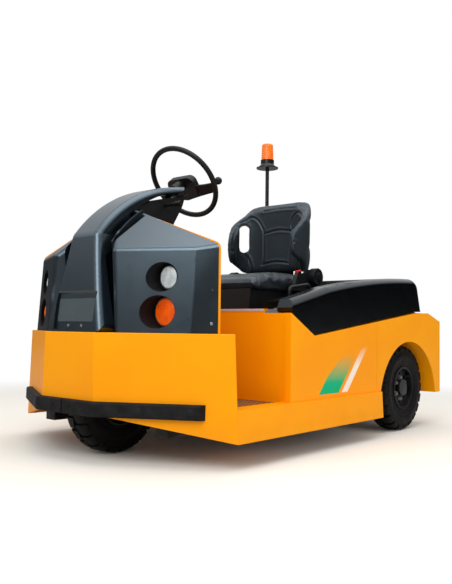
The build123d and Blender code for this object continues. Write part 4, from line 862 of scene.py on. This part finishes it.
def pocketShadeLining(name, centre, pocket, side):
    # matt near-black sleeve in a lamp's pocket, a dark sheet as painted shade, cut off just inside the wing's
    # face
    (back, front), (outer, inner) = lampLook["shadeLining"]["length"], lampLook["shadeLining"]["inset"]
    bm = bmesh.new()
    turned(bm, [(back, pocket - outer), (front, pocket - outer), (front, pocket - inner),
                (back, pocket - inner)], centre, 64, (1, 0, 0))
    bmesh.ops.remove_doubles(bm, verts=bm.verts, dist=0.00002)
    mirror = Vector((1, side, 1))
    facing = (Vector(wingFace["normal"]) * mirror).normalized()
    foot = Vector(wingFace["foot"]) * mirror - facing * lampLook["shadeLining"]["sunk"]
    cut = bmesh.ops.bisect_plane(bm, geom=list(bm.verts) + list(bm.edges) + list(bm.faces), dist=0.00001,
                                 plane_co=foot, plane_no=facing, clear_outer=True)["geom_cut"]
    bmesh.ops.bridge_loops(bm, edges=[part for part in cut if isinstance(part, bmesh.types.BMEdge)])
    showPiece(name + "ShadeLining", bm, pocketShadeRubber, "root")


for lamp in ("headlamp", "indicator"):
    look = lampLook[lamp]
    x, y, z = look["centre"]
    for hand, side in (("Left", 1), ("Right", -1)):
        pocketShadeLining(lamp + hand, (x, y * side, z), look["pocket"], side)
        lampTrim(lamp + hand, (x, y * side, z), look["lens"], look["pocket"])

# red button of the belt's buckle
buckleLook = {"centre": (-0.1150, 0.2586, 0.7595), "size": (0.030, 0.0185, 0.020), "edge": 0.003, "lean": 16.0}
# round caps on the recliner, with a ring of ribs
reclinerLook = {
    "centre": (-0.268, 0.2705, 0.745),
    # rise over its foot, and radius
    "cap": [(0.0, 0.043), (0.0022, 0.0424), (0.0042, 0.039), (0.0050, 0.033), (0.0042, 0.031),
            (0.0044, 0.021), (0.0056, 0.019), (0.0062, 0.011), (0.0062, 0.0006), (0.0, 0.0006)],
    "ribs": 20, "ribCircle": 0.0365, "ribRise": 0.0048, "rib": (0.010, 0.0018, 0.0028), "ribEdge": 0.0006,
}
# pads of the pedals, with cross ribs
padLook = {
    "x": 0.6817, "z": 0.298,
    "pedals": {"brake": (-0.300, 0.076), "accelerator": (-0.410, 0.052)},   # Y and width
    "down": (-36, 0, -60), "outward": (-60, 0, 36),
    "rise": 0.0022, "thick": 0.0034, "length": 0.062, "edge": 0.0012,
    "ribs": 6, "ribPitch": 0.0098, "ribRise": 0.0024, "rib": (0.0026, 0.0046), "ribEdge": 0.0009,
    "margin": 0.008,        # by which the ribs are shorter than the pad is wide
}


def buckleButton():
    bm = bmesh.new()
    block(bm, buckleLook["centre"], buckleLook["size"], buckleLook["edge"], 3,
          Matrix.Rotation(math.radians(buckleLook["lean"]), 3, "Y"))
    showPiece("buckleButton", bm, redPlastic, "hood")


def reclinerCap(hand, side):
    x, face, z = reclinerLook["centre"]
    circle = reclinerLook["ribCircle"]
    bm = bmesh.new()
    turned(bm, [(rise * side, radius) for rise, radius in reclinerLook["cap"]], (x, face * side, z), 56)
    for count in range(reclinerLook["ribs"]):
        angle = 2 * math.pi * count / reclinerLook["ribs"]
        place = (x + circle * math.cos(angle), (face + reclinerLook["ribRise"]) * side,
                 z + circle * math.sin(angle))
        block(bm, place, reclinerLook["rib"], reclinerLook["ribEdge"], 1, Matrix.Rotation(-angle, 3, "Y"))
    showPiece("reclinerCap" + hand, bm, blackPlastic, "hood")


def pedalPads():
    down, outward = Vector(padLook["down"]).normalized(), Vector(padLook["outward"]).normalized()
    turn = Matrix((outward, (0, 1, 0), down)).transposed()
    thick, high = padLook["rib"]
    bm = bmesh.new()
    for y, width in padLook["pedals"].values():
        middle = Vector((padLook["x"], y, padLook["z"])) + outward * padLook["rise"]
        block(bm, middle, (padLook["thick"], width, padLook["length"]), padLook["edge"], 2, turn)
        for count in range(padLook["ribs"]):
            along = (count - (padLook["ribs"] - 1) / 2) * padLook["ribPitch"]
            block(bm, middle + down * along + outward * padLook["ribRise"],
                  (thick, width - padLook["margin"], high), padLook["ribEdge"], 1, turn)
    showPiece("pedalPads", bm, treadRubber, "root")


buckleButton()
reclinerCap("Left", 1)
reclinerCap("Right", -1)
pedalPads()
print("fittings made")

# the camera sees white; gloss sees a white studio with one black flag on the left side
studio = {
    "ambient": (0.66, 0.66, 0.6732, 1.0),
    "grey": 1.0, "horizon": 0.06,   # overhead, and at the horizon, so that upright walls shade downwards
    "lift": (0.13, 0.42),           # from the horizon's level to overhead
    "flag": (-0.26, 0.966, 0.0), "flagEdge": (0.1, 0.48), "flagTop": (0.55, 0.25), "dark": 0.004,
}
studioLamps = {
    "keyLamp": {"place": (3.6, 1.4, 3.0), "aim": (0.2, 0.1, 0.5), "size": (2.4, 2.4), "power": 70},
    "topLamp": {"place": (0.0, 0.6, 3.8), "aim": (0.0, 0.0, 0.5), "size": (3.6, 3.6), "power": 60},
    # fills the left side, and leaves no glint there
    "sideLamp": {"place": (0.2, 4.4, 1.3), "aim": (-0.2, 0.0, 0.35), "size": (3.0, 2.0), "power": 34},
}
floorLook = {
    "radius": 14.0, "near": 2.1, "far": 3.6,    # plain white from near to far
    "seen": tint(248, 245, 236), "lit": tint(206, 203, 198),
}


def makeWorld():
    world = bpy.data.worlds.new("studioWorld")
    scene.world = world
    sky = Nodes(world, "Generated")
    ray = sky.add("ShaderNodeLightPath", {}, {}).outputs
    up = sky.axes()[2]
    aside = sky.add("ShaderNodeVectorMath", {"operation": "DOT_PRODUCT"}, {0: sky.place, 1: studio["flag"]})
    flag = sky.soft(aside.outputs["Value"], *studio["flagEdge"]) * sky.soft(up, *studio["flagTop"])
    room = sky.blend(sky.soft(up, *studio["lift"]), grey(studio["horizon"]), grey(studio["grey"]))
    gloss = sky.blend(flag, room, grey(studio["dark"]))
    shiny = up.step("MAXIMUM", ray["Is Glossy Ray"], ray["Is Transmission Ray"])
    plain = sky.blend(shiny, studio["ambient"], gloss)
    seen = sky.blend(ray["Is Camera Ray"], plain, grey(1.0))
    back = sky.add("ShaderNodeBackground", {}, {"Color": seen, "Strength": 1.0}).outputs[0]
    sky.add("ShaderNodeOutputWorld", {}, {"Surface": back})


def addLamp(name, mirrored):
    look = studioLamps[name]
    data = bpy.data.lights.new(name, "AREA")
    data.shape = "RECTANGLE"
    data.size, data.size_y = look["size"]
    data.energy = look["power"]
    lamp = bpy.data.objects.new(name, data)
    lamp.location = look["place"]
    lamp.rotation_euler = (Vector(look["aim"]) - lamp.location).to_track_quat("-Z", "Y").to_euler()
    lamp.visible_glossy = mirrored
    scene.collection.objects.link(lamp)


def makeFloor():
    # pale floor that turns plain white away from the machine
    finish = Finish("paleFloor", **{"Roughness": 0.9, "Specular IOR Level": 0.1,
                                    "Emission Color": grey(1.0), "Emission Strength": 0.0})
    seen = finish.add("ShaderNodeLightPath", {}, {}).outputs["Is Camera Ray"]
    finish.feed("Base Color", finish.blend(seen, floorLook["lit"], floorLook["seen"]))
    bright = finish.add("ShaderNodeEmission", {}, {"Color": grey(1.0), "Strength": 1.0}).outputs[0]
    away = finish.add("ShaderNodeVectorMath", {"operation": "LENGTH"}, {0: finish.place}).outputs["Value"]
    share = finish.soft(away, floorLook["near"], floorLook["far"]) * seen
    mixed = finish.add("ShaderNodeMixShader", {}, {0: share, 1: finish.shader.outputs[0], 2: bright})
    finish.tree.links.new(mixed.outputs[0], finish.output.inputs["Surface"])
    bm = bmesh.new()
    bmesh.ops.create_circle(bm, cap_ends=True, segments=64, radius=floorLook["radius"])
    mesh = bpy.data.meshes.new("floor")
    bm.to_mesh(mesh)
    bm.free()
    mesh.materials.append(finish.material)
    floor = bpy.data.objects.new("floor", mesh)
    scene.collection.objects.link(floor)


makeWorld()
addLamp("keyLamp", True)
addLamp("topLamp", True)
addLamp("sideLamp", False)
makeFloor()
print("studio made")
